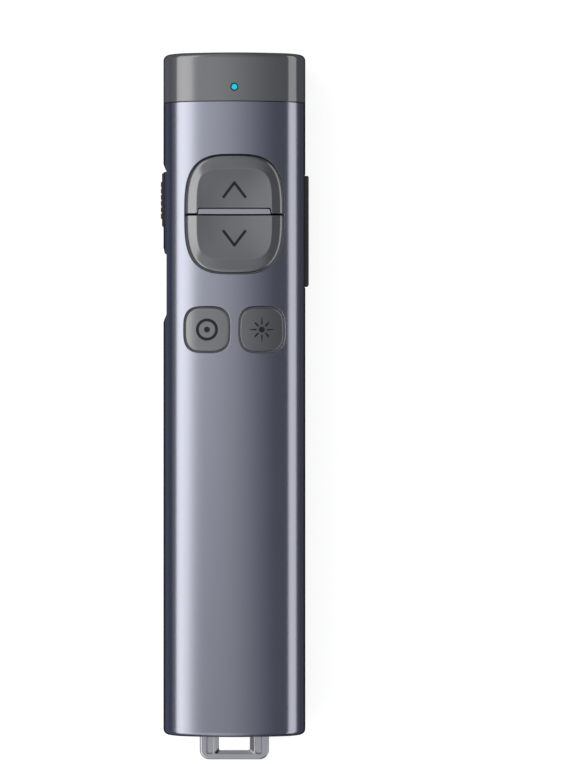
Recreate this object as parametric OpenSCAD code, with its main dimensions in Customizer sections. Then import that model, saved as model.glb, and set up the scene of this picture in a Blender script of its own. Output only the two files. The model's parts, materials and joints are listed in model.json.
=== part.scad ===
// Wireless presentation clicker, in millimetres.
// It lies on its flat back: X is across, +Y points to the laser end, +Z points out of the keys.
// The origin is the centre of the back face.

/* [Casing] */
// Length of the casing, nose cap included
body_l = 142.5; // [139:0.5:146]
// Width of the casing
body_w = 29.8; // [29.6:0.1:30.6]
// Thickness of the casing at its middle
body_t = 17; // [16.8:0.1:18]
// Radius of the crowned front
crown_r = 34; // [33:0.5:38]
// Radius of the two front corners
front_r = 6.2; // [6:0.1:6.5]
// Radius of the two back corners
back_r = 6.2; // [5.8:0.1:6.4]
// Wall of the casing
wall = 1.4; // [1.25:0.05:1.45]
// Height of the joint between the two casing halves above the back face
split_z = 3.4; // [3.2:0.1:3.5]
// Gap that shows along the joints of the casing
seam = 0.12; // [0.08:0.02:0.16]
// Length of the nose cap
nose_l = 10.25; // [9.5:0.25:12]
// Length of the part of the nose cap that plugs into the casing
plug_l = 4; // [3.5:0.1:4.3]
// Thickness of the end wall of the nose cap
nose_wall = 1.6; // [1.2:0.1:2]
// How much thicker the nose cap is than the casing's wall
nose_lining = 1.1; // [0.9:0.05:1.2]
// Clearance of the plugs and lips that sit inside the casing
fit_gap = 0.06; // [0.04:0.01:0.1]
// Thickness of the lip on the back cover
lip_t = 0.8; // [0.6:0.1:0.9]
// Height of that lip above the joint
lip_h = 1.3; // [1:0.1:1.4]

/* [Page keys] */
// Distance from the nose joint to the centre of the page keys
page_from_nose = 23.45; // [23:0.05:24]
// Width of the page keys
page_w = 20; // [19:0.1:20.4]
// Length of the two page keys together
page_l = 24.2; // [23.6:0.1:24.8]
// Gap around every key
key_gap = 0.35; // [0.25:0.05:0.4]
// Roundness of the key outlines, from ellipse to square
key_power = 3.2; // [2.6:0.1:4]
// Width of the sloping rim of the page keys
rim_w = 2.3; // [2:0.1:2.6]
// How far the rim stands above the middle of the casing
page_rise = 0.75; // [0.5:0.05:1]
// Depth of the dished face of the page keys
dish_depth = 0.5; // [0.2:0.05:0.55]
// Width of the gap between the two page keys
split_gap = 0.4; // [0.3:0.05:0.5]
// Width of the divider bar at its foot
bar_w = 15.2; // [14:0.1:15.4]
// Length of the divider bar along the casing
bar_l = 1.15; // [0.9:0.05:1.3]
// Clearance between the divider bar and the upper page key
bar_gap = 0.15; // [0.1:0.05:0.2]
// How far the divider bar stands above the dished face
bar_rise = 0.25; // [0.1:0.05:0.4]

/* [Small keys] */
// Distance from the centre of the page keys to the centre of the small keys
small_from_page = 24; // [23.5:0.1:24.5]
// Distance between the centres of the two small keys
small_pitch = 11.42; // [11.4:0.01:11.6]
// Side of a small key
small_w = 9; // [8.6:0.1:9]
// How far the small keys stand above the casing
small_rise = 0.15; // [0.1:0.05:0.3]

/* [Key works] */
// How far a key travels
key_travel = 0.4; // [0.3:0.05:0.5]
// Width of the flange that keeps a key inside the casing
flange_w = 0.9; // [0.8:0.05:1]
// Thickness of that flange
flange_t = 0.7; // [0.6:0.05:0.8]
// Clearance between the flange and the inside of the casing
flange_gap = 0.15; // [0.1:0.05:0.2]
// Diameter of the stem under a key
stem_d = 2.8; // [2.4:0.1:3]
// Clearance round the stems
stem_gap = 0.1; // [0.06:0.02:0.2]
// Thickness of the plate that stops the keys
frame_t = 0.7; // [0.6:0.05:0.8]
// Width of the plate that stops the keys
frame_w = 21.8; // [21:0.1:22]
// Side of a key switch
switch_w = 4.6; // [4.4:0.1:4.8]
// Height of a key switch
switch_h = 1.8; // [1.6:0.05:1.85]
// Diameter of a switch plunger
plunger_d = 2; // [1.8:0.1:2.2]
// Running clearance of the plungers
plunger_gap = 0.05; // [0.03:0.01:0.08]
// Depth of the well that a key plunger slides in
well_depth = 1.3; // [1.2:0.05:1.4]

/* [Symbols] */
// Width of the lines of the chevrons
chevron_line = 0.56; // [0.4:0.02:0.8]
// Width of a chevron
chevron_w = 4.48; // [4:0.04:5]
// Height of a chevron
chevron_h = 2.94; // [2.6:0.02:3.2]
// Distance from the centre of the page keys to the point of a chevron
chevron_out = 6.5; // [6.2:0.1:6.8]
// Outer diameter of the target's ring
target_d = 4.6; // [4:0.1:5]
// Width of the target's ring
target_line = 0.6; // [0.4:0.05:0.8]
// Diameter of the dots in the target and the star
dot_d = 1.22; // [1:0.02:1.4]
// Length from the centre to the tip of the star's long rays
long_ray = 2.6; // [2.3:0.1:2.9]
// Length from the centre to the end of the star's short rays
short_ray = 2.07; // [1.8:0.01:2.2]
// Width of the star's rays
ray_w = 0.36; // [0.3:0.02:0.5]
// Depth to which the symbols are let into the keys
inlay = 0.3; // [0.2:0.05:0.4]
// How far the symbols stand above the keys
proud = 0.02; // [0.01:0.01:0.04]

/* [Power slider] */
// Distance from the nose joint to the middle of the slider
slider_from_nose = 22.8; // [22.4:0.1:23]
// Length of the slider
slider_l = 17; // [16:0.1:18]
// Height of the flat side of the slider, which carries the grip
slider_h = 5.2; // [4.6:0.1:5.4]
// How far the slider travels
slider_travel = 6; // [4:0.5:6]
// Depth of the recess that the slider runs in
recess_d = 0.69; // [0.6:0.01:0.72]
// Length of the flat floor of the recess
recess_l = 30; // [29:0.1:31]
// Length of the ramp at each end of the recess
ramp_l = 1.6; // [1.2:0.1:2]
// Length of the ribbed grip on the slider
grip_l = 11; // [10:0.1:11.5]
// How far the grip stands out of the slider
grip_rise = 0.3; // [0.2:0.02:0.4]
// How far the ribs stand out of the grip
rib_rise = 0.25; // [0.2:0.01:0.4]
// Distance between the ribs
rib_pitch = 1.32; // [1.2:0.02:1.4]
// Number of ribs
rib_count = 6; // [5:1:7]
// Running clearance of the slider
slide_gap = 0.05; // [0.03:0.01:0.06]
// Length of the stem that passes through the casing
slider_stem_l = 4; // [3:0.1:4.4]
// Height of that stem
slider_stem_h = 2.2; // [1.8:0.1:2.4]

/* [Volume rocker] */
// Distance from the nose joint to the middle of the rocker
rocker_from_nose = 26.67; // [26.4:0.01:27]
// Length of the rocker
rocker_l = 23.2; // [22.4:0.1:24]
// Height of the rocker, from back to front
rocker_h = 4.8; // [4.4:0.1:4.8]
// How far the rocker stands out of the casing
rocker_rise = 0.7; // [0.5:0.05:0.9]
// Clearance at the ends of the rocker
rocker_end_gap = 0.25; // [0.2:0.05:0.3]
// Clearance at the front and back of the rocker
rocker_side_gap = 0.12; // [0.08:0.02:0.16]
// Diameter of the rocker's pin
rocker_pin_d = 1.2; // [1:0.1:1.2]
// Distance from the outside of the casing to the pin
pin_depth = 2.6; // [2.5:0.05:2.7]
// Distance from the middle of the rocker to each plunger
rocker_reach = 7.5; // [7:0.1:8]

/* [Lanyard ring] */
// Width of the ring
ring_w = 14.5; // [14:0.1:15]
// Thickness of the ring
ring_t = 2.8; // [2.4:0.1:2.9]
// How far the ring comes out of the casing
ring_out = 5.15; // [4.5:0.05:5.5]
// Width of the ring's bar
ring_bar = 1.7; // [1.5:0.05:2]
// Width of the hole through the ring
ring_hole = 6.5; // [6:0.1:7]
// Width of the bevel round the front of the hole
ring_bevel = 0.9; // [0.6:0.05:1]
// Radius of the ring's outer corners
ring_corner = 2; // [1.6:0.1:2.2]
// Width of the shallow groove along each leg
groove_w = 1.5; // [1.2:0.05:1.6]
// Depth of that groove
groove_d = 0.35; // [0.2:0.05:0.4]
// Clearance of the ring in its channel
ring_gap = 0.08; // [0.06:0.01:0.1]
// Width of the shoulder that keeps the ring in, on each side
shoulder = 1.1; // [0.9:0.1:1.2]
// Length of that shoulder along the casing
shoulder_l = 2; // [1.8:0.1:2.2]
// Height of the middle of the ring above the back face
ring_z = 10; // [9.9:0.1:10.1]
// Length of the end cap
end_l = 5; // [4.6:0.1:5.4]
// Wall of the channel behind the end cap
guide_wall = 1; // [0.8:0.1:1]

/* [Electronics] */
// Thickness of the circuit boards
board_t = 1; // [0.9:0.05:1.1]
// Width of the main board
board_w = 23.8; // [23.4:0.1:23.8]
// Length of the main board
board_l = 57.6; // [57:0.1:58]
// Gap between the battery and the main board's height
board_gap = 1.4; // [1.3:0.05:1.45]
// Length of the battery
battery_l = 44; // [40:0.5:46]
// Width of the battery
battery_w = 19; // [18:0.1:19.4]
// Thickness of the battery
battery_t = 5; // [4.8:0.1:5.1]
// Thickness of the tape under the battery
pad_t = 0.2; // [0.1:0.05:0.25]
// Width of the charging board
charge_w = 16; // [14:0.1:18]
// Length of the charging board
charge_l = 16; // [15:0.1:17]
// Height of the ribs that carry the charging board
charge_rib = 0.6; // [0.5:0.05:0.6]
// Width of the charging socket
usb_w = 8.94; // [8.9:0.01:9]
// Height of the charging socket
usb_h = 3.26; // [3.2:0.01:3.3]
// Depth of the charging socket
usb_l = 7.3; // [7:0.05:7.4]
// Wall of the charging socket
usb_wall = 0.3; // [0.2:0.05:0.3]
// Diameter of the wires
wire_d = 0.8; // [0.6:0.05:0.9]
// Diameter of the board screws
screw_d = 1.4; // [1.2:0.1:1.5]
// Diameter of the heads of the board screws
screw_head_d = 2.6; // [2.4:0.1:2.8]
// Diameter of the posts that carry the main board
post_d = 3.4; // [3.2:0.1:3.6]

/* [Laser and light] */
// Outer diameter of the laser barrel
barrel_d = 6; // [5.8:0.1:6.1]
// Wall of the laser barrel
barrel_wall = 0.5; // [0.4:0.05:0.5]
// Length of the laser barrel
barrel_l = 10; // [9.4:0.1:10.4]
// Wall of the sleeve that holds the barrel
sleeve_wall = 1.05; // [1:0.05:1.1]
// Thickness of the lens
lens_t = 1.2; // [1:0.1:1.4]
// Diameter of the hole that the beam leaves by
beam_d = 4; // [3.6:0.1:4.2]
// Diameter of the window over that hole
window_d = 5; // [4.8:0.1:5.2]
// Thickness of the window
window_t = 0.7; // [0.6:0.05:0.8]
// Distance from the nose joint to the status light
light_from_joint = 3; // [2.8:0.1:3.2]
// Diameter of the lit dot
light_d = 1.16; // [1.1:0.02:1.2]
// Outer diameter of the dark rim round it
light_rim_d = 1.6; // [1.56:0.02:1.8]

/* [Hidden] */

$fn = 48;
fine = 240;
far = 60;
eps = 0.01;

// Section: the centres of its arcs, and the two heights of its front surface.
crown_z = body_t - crown_r;
front_cx = body_w / 2 - front_r;
front_cz = crown_z + sqrt(pow(crown_r - front_r, 2) - pow(front_cx, 2));
back_cx = body_w / 2 - back_r;
side_z = (front_cz + back_r) / 2;

// Places along the casing.
top_y = body_l / 2;
end_y = -body_l / 2;
nose_y = top_y - nose_l;
plug_y = nose_y - plug_l;
page_y = nose_y - page_from_nose;
small_y = page_y - small_from_page;
slider_y = nose_y - slider_from_nose;
rocker_y = nose_y - rocker_from_nose;
light_y = nose_y + light_from_joint;
board_end_gap = 0.4;
board_y1 = plug_y - board_end_gap;
board_y0 = board_y1 - board_l;

// Heights, from the back cover up to the plungers.
battery_z = wall + pad_t;
board_z = battery_z + battery_t + board_gap;
board_top = board_z + board_t;
switch_top = board_top + switch_h;
plunger_top = switch_top + key_travel;
well_z = switch_top - well_depth;

// Flanges of the keys, under the inside of the casing.
page_flange_x = page_w / 2 + flange_w;
small_flange_x = small_pitch / 2 + small_w / 2 + flange_w;
flange_top = inside_z(max(page_flange_x, small_flange_x)) - flange_gap;
flange_z = flange_top - flange_t;
stop_gap = 0.03;
frame_past_page = 1.2;
frame_past_small = 1.7;
frame_top = flange_z - key_travel - stop_gap;
frame_z = frame_top - frame_t;
frame_y1 = page_y + page_l / 2 + frame_past_page;
frame_y0 = small_y - small_w / 2 - frame_past_small;

// Dished face of the page keys.
rim_z = body_t + page_rise;
dish_z = rim_z - dish_depth;
rim_lift = 0.25;
bar_top = dish_z + bar_rise;
split_drop = 0.1;
bar_lift = 0.05;
split_y = page_y - split_drop;
bar_y = split_y + bar_lift;

// Side pieces.
slider_end_gap = 0.15;
floor_x = body_w / 2 - recess_d;
inner_x = body_w / 2 - wall;
recess_y1 = slider_y + slider_l / 2 + slider_end_gap;
recess_y0 = recess_y1 - recess_l;
carriage_t = 0.7;
carriage_x = inner_x - slide_gap;
lever_w = 2;
rocker_drop = 0.3;
rocker_past_pin = 0.2;
rocker_z = board_z + board_t / 2 - rocker_drop;
pin_x = body_w / 2 - pin_depth;
rocker_in_x = pin_x + rocker_past_pin;
rocker_out_x = body_w / 2 + rocker_rise;
side_switch_h = 2.4;
side_plunger_z = board_z - side_switch_h / 2;
side_plunger_d = 1.4;

// Ring and its channel.
guide_end_gap = 0.3;
ring_low_y = end_y - ring_out;
cap_in_y = end_y + end_l;
shoulder_y = cap_in_y + ring_gap;
ring_in_y = shoulder_y + shoulder_l;
guide_y = ring_in_y + ring_out + guide_end_gap;

// Charging socket.
socket_inset = 0.15;
socket_past_board = 1;
leads_room = 4.5;
charge_z = wall + charge_rib;
usb_z = charge_z + board_t + usb_h / 2;
usb_y0 = end_y + socket_inset;
charge_y0 = usb_y0 + socket_past_board;
charge_y1 = charge_y0 + charge_l;
battery_y0 = charge_y1 + leads_room;
battery_y1 = battery_y0 + battery_l;
lead_x = 11;

// Laser module and status light.
barrel_end_gap = 0.05;
sleeve_back = 1;
laser_z = body_t / 2;
nose_in_y = top_y - nose_wall;
barrel_y0 = nose_in_y - barrel_end_gap - barrel_l;
sleeve_d = barrel_d + 2 * (sleeve_wall + plunger_gap);
sleeve_y0 = plug_y + sleeve_back;
barrel_bore = barrel_d - 2 * barrel_wall;
status_z = laser_z + sleeve_d / 2;
status_w = 4.8;
status_l = 4.4;
status_t = 0.6;
led_t = 0.5;
nose_in_z = body_t - wall - nose_lining;

// Height of the casing's outer and inner surface at a distance x from the middle.
function arc_z(x, inset) = x <= front_cx * (crown_r - inset) / (crown_r - front_r)
    ? crown_z + sqrt(pow(crown_r - inset, 2) - x * x)
    : front_cz + sqrt(pow(front_r - inset, 2) - pow(x - front_cx, 2));
function outside_z(x) = arc_z(abs(x), 0);
function inside_z(x) = arc_z(abs(x), wall);

// Points of a superellipse with half sizes a and b.
function rounded(a, b, power = key_power, count = 72) = [for (i = [0 : count - 1])
    let (turn = 360 * i / count, c = cos(turn), s = sin(turn))
    [a * sign(c) * pow(abs(c), 2 / power), b * sign(s) * pow(abs(s), 2 / power)]];

// Cross-section of the casing, set in by a wall.
module section(inset = 0) {
    for (side = [-1, 1]) {
        translate([side * front_cx, front_cz]) circle(r = front_r - inset);
        translate([side * back_cx, back_r]) circle(r = back_r - inset);
    }
    polygon([[-body_w / 2 + inset, back_r], [body_w / 2 - inset, back_r],
        [body_w / 2 - inset, front_cz], [-body_w / 2 + inset, front_cz]]);
    polygon([[-back_cx, inset], [back_cx, inset], [back_cx, back_r], [-back_cx, back_r]]);
    intersection() {
        translate([0, crown_z]) circle(r = crown_r - inset, $fn = fine);
        polygon([[0, crown_z], [2 * front_cx, crown_z + 2 * (front_cz - crown_z)],
            [-2 * front_cx, crown_z + 2 * (front_cz - crown_z)]]);
        translate([-body_w / 2, front_cz - 2]) square([body_w, body_t]);
    }
}

// Extrudes a cross-section along Y, from y0 to y1.
module along(y0, y1) {
    translate([0, y1, 0]) rotate([90, 0, 0]) linear_extrude(y1 - y0) children();
}

module box(x0, x1, y0, y1, z0, z1) {
    translate([x0, y0, z0]) cube([x1 - x0, y1 - y0, z1 - z0]);
}

module post(x, y, d, z0, z1) {
    translate([x, y, z0]) cylinder(h = z1 - z0, d = d);
}

// A rod along Y.
module rod_y(d, y0, y1, x = 0, z = 0) {
    translate([x, y1, z]) rotate([90, 0, 0]) cylinder(h = y1 - y0, d = d);
}

// A rod along X.
module rod_x(d, x0, x1, y, z) {
    translate([x0, y, z]) rotate([0, 90, 0]) cylinder(h = x1 - x0, d = d);
}

// A flat loop with round ends, for the charging socket.
module slot_shape(w, h) {
    for (side = [-1, 1]) translate([side * (w - h) / 2, 0]) circle(d = h);
    square([w - h, h], center = true);
}

// Everything under a height raised above the crown.
module under_crown(rise) {
    translate([0, 0, crown_z]) rotate([90, 0, 0])
        cylinder(h = 3 * body_l, r = crown_r + rise, center = true, $fn = fine);
}

// Flat recess in the left side, with a ramp at each end.
module side_recess() {
    linear_extrude(body_t) polygon([[-body_w, recess_y0 - ramp_l], [-body_w / 2, recess_y0 - ramp_l],
        [-floor_x, recess_y0], [-floor_x, recess_y1], [-body_w / 2, recess_y1 + ramp_l],
        [-body_w, recess_y1 + ramp_l]]);
}

// Places of the four posts that the main board hangs from.
post_x = board_w / 2 - post_d / 2 - 0.5;
post_ys = [board_y0 + 2.4, board_y1 - 2.2];
module at_posts() {
    for (side = [-1, 1], y = post_ys) translate([side * post_x, y, 0]) children();
}

// The board screws: their clearance, and how far they go into the posts.
screw_gap = 0.1;
screw_bite = 3.4;

// Ears in the front shell that hold the rocker's pin.
ear_t = 0.7;
ear_gap = 0.1;
rocker_boss = 0.5;
module rocker_ears() {
    ear_half = rocker_pin_d / 2 + 1;
    for (z = [rocker_z - rocker_h / 2 - ear_gap - ear_t, rocker_z + rocker_h / 2 + ear_gap])
        box(pin_x - rocker_pin_d / 2 - rocker_boss, inner_x + 0.2, rocker_y - ear_half,
            rocker_y + ear_half, z, z + ear_t);
}

slot_end_gap = 0.1;
module front_shell() color([0.50, 0.52, 0.60]) difference() {
    union() {
        along(end_y, nose_y) difference() {
            intersection() {
                section();
                translate([-body_w, split_z + seam]) square([2 * body_w, body_t]);
            }
            section(wall);
        }
        intersection() {
            along(end_y, nose_y) section(wall / 2);
            union() {
                at_posts() post(0, 0, post_d, board_top, body_t);
                rocker_ears();
            }
        }
    }
    at_posts() post(0, 0, screw_d + screw_gap, board_top - eps, board_top + screw_bite + root);
    translate([0, page_y, body_t / 2]) linear_extrude(body_t)
        polygon(rounded(page_w / 2 + key_gap, page_l / 2 + key_gap));
    for (side = [-1, 1]) translate([side * small_pitch / 2, small_y, body_t / 2])
        linear_extrude(body_t) polygon(rounded(small_w / 2 + key_gap, small_w / 2 + key_gap));
    side_recess();
    box(-body_w / 2, 1 - inner_x, slider_y - slider_travel - slider_stem_l / 2 - slot_end_gap,
        slider_y + slider_stem_l / 2 + slot_end_gap, side_z - slider_stem_h / 2 - slide_gap,
        side_z + slider_stem_h / 2 + slide_gap);
    box(inner_x - 1, body_w, rocker_y - rocker_l / 2 - rocker_end_gap,
        rocker_y + rocker_l / 2 + rocker_end_gap, rocker_z - rocker_h / 2 - rocker_side_gap,
        rocker_z + rocker_h / 2 + rocker_side_gap);
    post(pin_x, rocker_y, rocker_pin_d + 2 * plunger_gap, rocker_z - rocker_h, rocker_z + rocker_h);
}

// How deep a rib or a lip is rooted in the wall that carries it.
root = 0.2;
lip_root = 1;
lip_end_gap = 0.3;
cradle_t = 1;
cradle_h = 1.2;
cradle_gap = 0.4;
carrier_t = 1.5;
carrier_inset = 1;
module back_cover() color([0.45, 0.47, 0.54]) {
    along(end_y, nose_y) difference() {
        intersection() {
            section();
            translate([-body_w, 0]) square([2 * body_w, split_z]);
        }
        section(wall);
    }
    along(cap_in_y + lip_end_gap, plug_y - lip_end_gap) difference() {
        intersection() {
            union() {
                section(wall + fit_gap);
                intersection() {
                    section(wall - root);
                    translate([-body_w, 0]) square([2 * body_w, split_z]);
                }
            }
            translate([-body_w, split_z - lip_root]) square([2 * body_w, lip_root + lip_h]);
        }
        section(wall + fit_gap + lip_t);
    }
    for (y = [battery_y0 - cradle_gap - cradle_t, battery_y1 + cradle_gap])
        box(cradle_t - battery_w / 2, battery_w / 2 - cradle_t, y, y + cradle_t, wall - root,
            battery_z + cradle_h);
    for (y = [charge_y0 + carrier_inset, charge_y1 - carrier_inset - carrier_t])
        box(carrier_inset - charge_w / 2, charge_w / 2 - carrier_inset, y, y + carrier_t, wall - root,
            charge_z);
}

// Clearances in the nose cap: round the status board, the window and the light's rim.
pad_gap = 0.2;
pad_back = 0.6;
window_sink = 0.1;
rim_gap = 0.02;
module nose_cap() color([0.33, 0.34, 0.36]) difference() {
    union() {
        along(nose_y + seam, top_y) section();
        along(plug_y, nose_y + 1) section(wall + fit_gap);
    }
    difference() {
        along(plug_y - 1, nose_in_y) section(wall + nose_lining);
        rod_y(sleeve_d, sleeve_y0, top_y, 0, laser_z);
        box(-status_w / 2 - pad_gap, status_w / 2 + pad_gap, sleeve_y0 + pad_back, top_y, laser_z,
            status_z);
    }
    rod_y(barrel_d + 2 * plunger_gap, plug_y, nose_in_y, 0, laser_z);
    rod_y(beam_d, nose_in_y - 1, top_y + 1, 0, laser_z);
    rod_y(window_d + 2 * plunger_gap, top_y - window_t - window_sink, top_y + 1, 0, laser_z);
    post(0, light_y, light_rim_d + 2 * rim_gap, nose_in_z - 1, far);
}

// The plug in the lower end.
cap_sink = 0.3;
socket_gap = 0.05;
socket_step = 0.8;
module end_cap() color([0.13, 0.13, 0.15]) difference() {
    along(end_y + cap_sink, cap_in_y) section(wall + fit_gap);
    box(-ring_w / 2 - ring_gap, ring_w / 2 + ring_gap, end_y - 1, cap_in_y + 1,
        ring_z - ring_t / 2 - ring_gap, ring_z + ring_t / 2 + ring_gap);
    translate([0, 0, usb_z]) along(end_y - 1, cap_in_y + 1)
        slot_shape(usb_w + 2 * socket_gap, usb_h + 2 * socket_gap);
    box(-charge_w / 2 - 2 * socket_gap, charge_w / 2 + 2 * socket_gap, charge_y0 - 2 * socket_gap,
        cap_in_y + 1, charge_z - socket_gap, charge_z + board_t + socket_gap);
    box(-charge_w / 2, charge_w / 2, charge_y0 + socket_step, cap_in_y + 1, wall, charge_z);
}

// Upper skin of the page keys: rows of points from the dished face out to the rim and down.
page_count = 72;
dish_rows = [0.25, 0.5, 0.75];
function dish_row(scale) = [for (p = rounded(page_w / 2 - rim_w, page_l / 2 - rim_w))
    [p[0] * scale, p[1] * scale, dish_z + dish_depth * scale * scale]];
// The rim falls from its crest, a little steeper further out. At the sides, where the casing falls
// away from it, its edge stands higher over the casing.
rim_start = 0.58;
rim_ease = 0.5;
function rim_fall(x) = let (drop = rim_z - rim_lift - outside_z(x)) drop / (1 + rim_ease * drop);
function rim_row(part) = [for (i = [0 : page_count - 1])
    let (p = rounded(page_w / 2 - rim_w * part, page_l / 2 - rim_w * part)[i],
        fall = rim_fall(rounded(page_w / 2, page_l / 2)[i][0]), out = 1 - part)
    [p[0], p[1], rim_z - fall * (rim_start * out + (1 - rim_start) * out * out)]];
function foot_row(z) = [for (p = rounded(page_w / 2, page_l / 2)) [p[0], p[1], z]];
page_rows = concat([for (scale = dish_rows) dish_row(scale)],
    [rim_row(1), rim_row(0.6), rim_row(0.25), rim_row(0), foot_row(flange_top - 0.2)]);

module page_block() {
    last = len(page_rows) - 1;
    middle = (last + 1) * page_count;
    points = concat([for (row = page_rows) for (p = row) p], [[0, 0, dish_z]]);
    top = [for (i = [0 : page_count - 1]) [i, (i + 1) % page_count, middle]];
    skin = [for (r = [0 : last - 1], i = [0 : page_count - 1])
        let (j = (i + 1) % page_count, a = r * page_count, b = a + page_count)
        each [[a + i, b + i, b + j], [a + i, b + j, a + j]]];
    under = [[for (i = [page_count - 1 : -1 : 0]) last * page_count + i]];
    outward = [for (face = concat(top, skin, under)) [for (k = [len(face) - 1 : -1 : 0]) face[k]]];
    translate([0, page_y, 0]) polyhedron(points, outward);
}

// Outline of the divider bar, grown by a clearance.
module bar_shape(grow = 0) {
    corner = 0.5;
    taper = 0.35;
    foot = bar_w / 2 + grow;
    head = foot - taper;
    polygon([[-foot, -grow], [foot, -grow], [head, bar_l + grow - corner],
        [head - corner, bar_l + grow], [corner - head, bar_l + grow], [-head, bar_l + grow - corner]]);
}

// Keeps one side of the line between the page keys: 1 is the upper key, -1 the lower.
module half_plane(side) {
    reach = page_l;
    y0 = side > 0 ? split_y + split_gap / 2 : split_y - split_gap / 2 - reach;
    translate([-page_w, y0, 0]) cube([2 * page_w, reach, 2 * body_t]);
}

module bar_notch() {
    translate([0, bar_y - split_gap, frame_top - 1]) linear_extrude(body_t) union() {
        translate([0, split_gap]) bar_shape(bar_gap);
        translate([-bar_w / 2 - bar_gap, 0]) square([bar_w + 2 * bar_gap, split_gap]);
    }
}

// Centre of the stem under a page key.
stem_out = 6.4;
module page_key(side) difference() {
    union() {
        intersection() {
            page_block();
            half_plane(side);
        }
        intersection() {
            translate([0, page_y, flange_z]) linear_extrude(flange_t)
                polygon(rounded(page_w / 2 + flange_w, page_l / 2 + flange_w));
            half_plane(side);
        }
        post(0, page_y + side * stem_out, stem_d, plunger_top, flange_z + eps);
    }
    if (side > 0) bar_notch();
    page_mark_shape(side);
}

// A chevron that points up (1) or down (-1).
module chevron(side) {
    run = chevron_w / 2;
    tilt = atan2(chevron_h, run);
    arm = norm([chevron_h, run]);
    translate([0, side * chevron_out]) for (way = [-1, 1]) {
        rotate(side > 0 ? -90 - way * (90 - tilt) : 90 + way * (90 - tilt))
            translate([0, -chevron_line / 2]) square([arm, chevron_line]);
        circle(d = chevron_line);
        translate([way * run, -side * chevron_h]) circle(d = chevron_line);
    }
}

module page_mark_shape(side) {
    translate([0, page_y, dish_z + dish_depth / 3 - inlay]) linear_extrude(body_t) chevron(side);
}

module page_mark(side) color([0.2, 0.2, 0.21]) intersection() {
    page_mark_shape(side);
    translate([0, 0, proud]) page_block();
}

module page_up_key() color([0.43, 0.435, 0.44]) page_key(1);
module page_down_key() color([0.43, 0.435, 0.44]) page_key(-1);
module page_up_mark() page_mark(1);
module page_down_mark() page_mark(-1);

module key_divider() color([0.56, 0.57, 0.63])
    translate([0, bar_y, frame_top]) linear_extrude(bar_top - frame_top) bar_shape();

// Small keys: side is -1 on the left and 1 on the right.
module small_key(side) color([0.43, 0.435, 0.44]) {
    x = side * small_pitch / 2;
    difference() {
        intersection() {
            translate([x, small_y, flange_z + eps]) linear_extrude(body_t)
                polygon(rounded(small_w / 2, small_w / 2));
            under_crown(small_rise);
        }
        difference() {
            translate([x, small_y, body_t / 2]) linear_extrude(body_t) children();
            under_crown(small_rise - inlay);
        }
    }
    translate([x, small_y, flange_z]) linear_extrude(flange_t)
        polygon(rounded(small_w / 2 + flange_w, small_w / 2 + flange_w));
    post(x, small_y, stem_d, plunger_top, flange_z + eps);
}

module small_mark(side) color([0.2, 0.2, 0.21]) difference() {
    intersection() {
        translate([side * small_pitch / 2, small_y, body_t / 2]) linear_extrude(body_t) children();
        under_crown(small_rise + proud);
    }
    under_crown(small_rise - inlay);
}

module target() {
    difference() {
        circle(d = target_d);
        circle(d = target_d - 2 * target_line);
    }
    circle(d = dot_d);
}

module star() {
    ray_start = 1.1;
    circle(d = dot_d);
    for (turn = [0 : 90 : 270]) {
        rotate(turn) polygon([[ray_start, -ray_w / 2], [long_ray, -ray_w / 8],
            [long_ray, ray_w / 8], [ray_start, ray_w / 2]]);
        rotate(turn + 45) translate([ray_start - 0.1, -ray_w / 2])
            square([short_ray - ray_start + 0.1, ray_w]);
    }
}

module spotlight_key() small_key(-1) target();
module target_mark() small_mark(-1) target();
module laser_key() small_key(1) star();
module star_mark() small_mark(1) star();

// Stems of the four keys: x and y.
key_spots = [[0, page_y + stem_out], [0, page_y - stem_out], [-small_pitch / 2, small_y],
    [small_pitch / 2, small_y]];

// Feet of the plate that stops the keys.
foot_d = 2;
foot_inset = 1.5;
between_keys = (page_y - page_l / 2 + small_y + small_w / 2) / 2;
foot_ys = [frame_y0 + foot_inset, between_keys, page_y, frame_y1 - foot_inset];
module key_frame() color([0.2, 0.2, 0.22]) difference() {
    union() {
        box(-frame_w / 2, frame_w / 2, frame_y0, frame_y1, frame_z, frame_top);
        for (x = [-1, 1], y = foot_ys)
            post(x * (frame_w / 2 - foot_inset), y, foot_d, board_top, frame_z + eps);
    }
    for (spot = key_spots)
        post(spot[0], spot[1], stem_d + 2 * stem_gap, board_top, frame_top + 1);
}

module key_switch(spot) color([0.12, 0.12, 0.13]) difference() {
    box(spot[0] - switch_w / 2, spot[0] + switch_w / 2, spot[1] - switch_w / 2,
        spot[1] + switch_w / 2, board_top, switch_top);
    post(spot[0], spot[1], plunger_d + 2 * plunger_gap, well_z, far);
}

well_floor_gap = 0.1;
module key_plunger(spot) color([0.85, 0.85, 0.82])
    post(spot[0], spot[1], plunger_d, well_z + key_travel + well_floor_gap, plunger_top);

module page_up_switch() key_switch(key_spots[0]);
module page_up_plunger() key_plunger(key_spots[0]);
module page_down_switch() key_switch(key_spots[1]);
module page_down_plunger() key_plunger(key_spots[1]);
module spotlight_switch() key_switch(key_spots[2]);
module spotlight_plunger() key_plunger(key_spots[2]);
module laser_switch() key_switch(key_spots[3]);
module laser_plunger() key_plunger(key_spots[3]);

// The slider: a plate that completes the casing's side where the recess is cut out of it, and the
// stem that goes in. The grip is let into it.
plate_in = floor_x + slide_gap;
plate_top_y = slider_y + slider_l / 2;
plate_low_y = slider_y - slider_l / 2;
plate_z0 = side_z - slider_h / 2;
grip_edge = 0.3;
grip_drop = 0.25;
grip_sink = 0.2;
grip_top = plate_top_y - grip_drop;
module grip_seat(rise = 0) box(-body_w / 2 - rise, -body_w / 2 + grip_sink, grip_top - grip_l, grip_top,
    plate_z0 + grip_edge, plate_z0 + slider_h - grip_edge);

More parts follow.
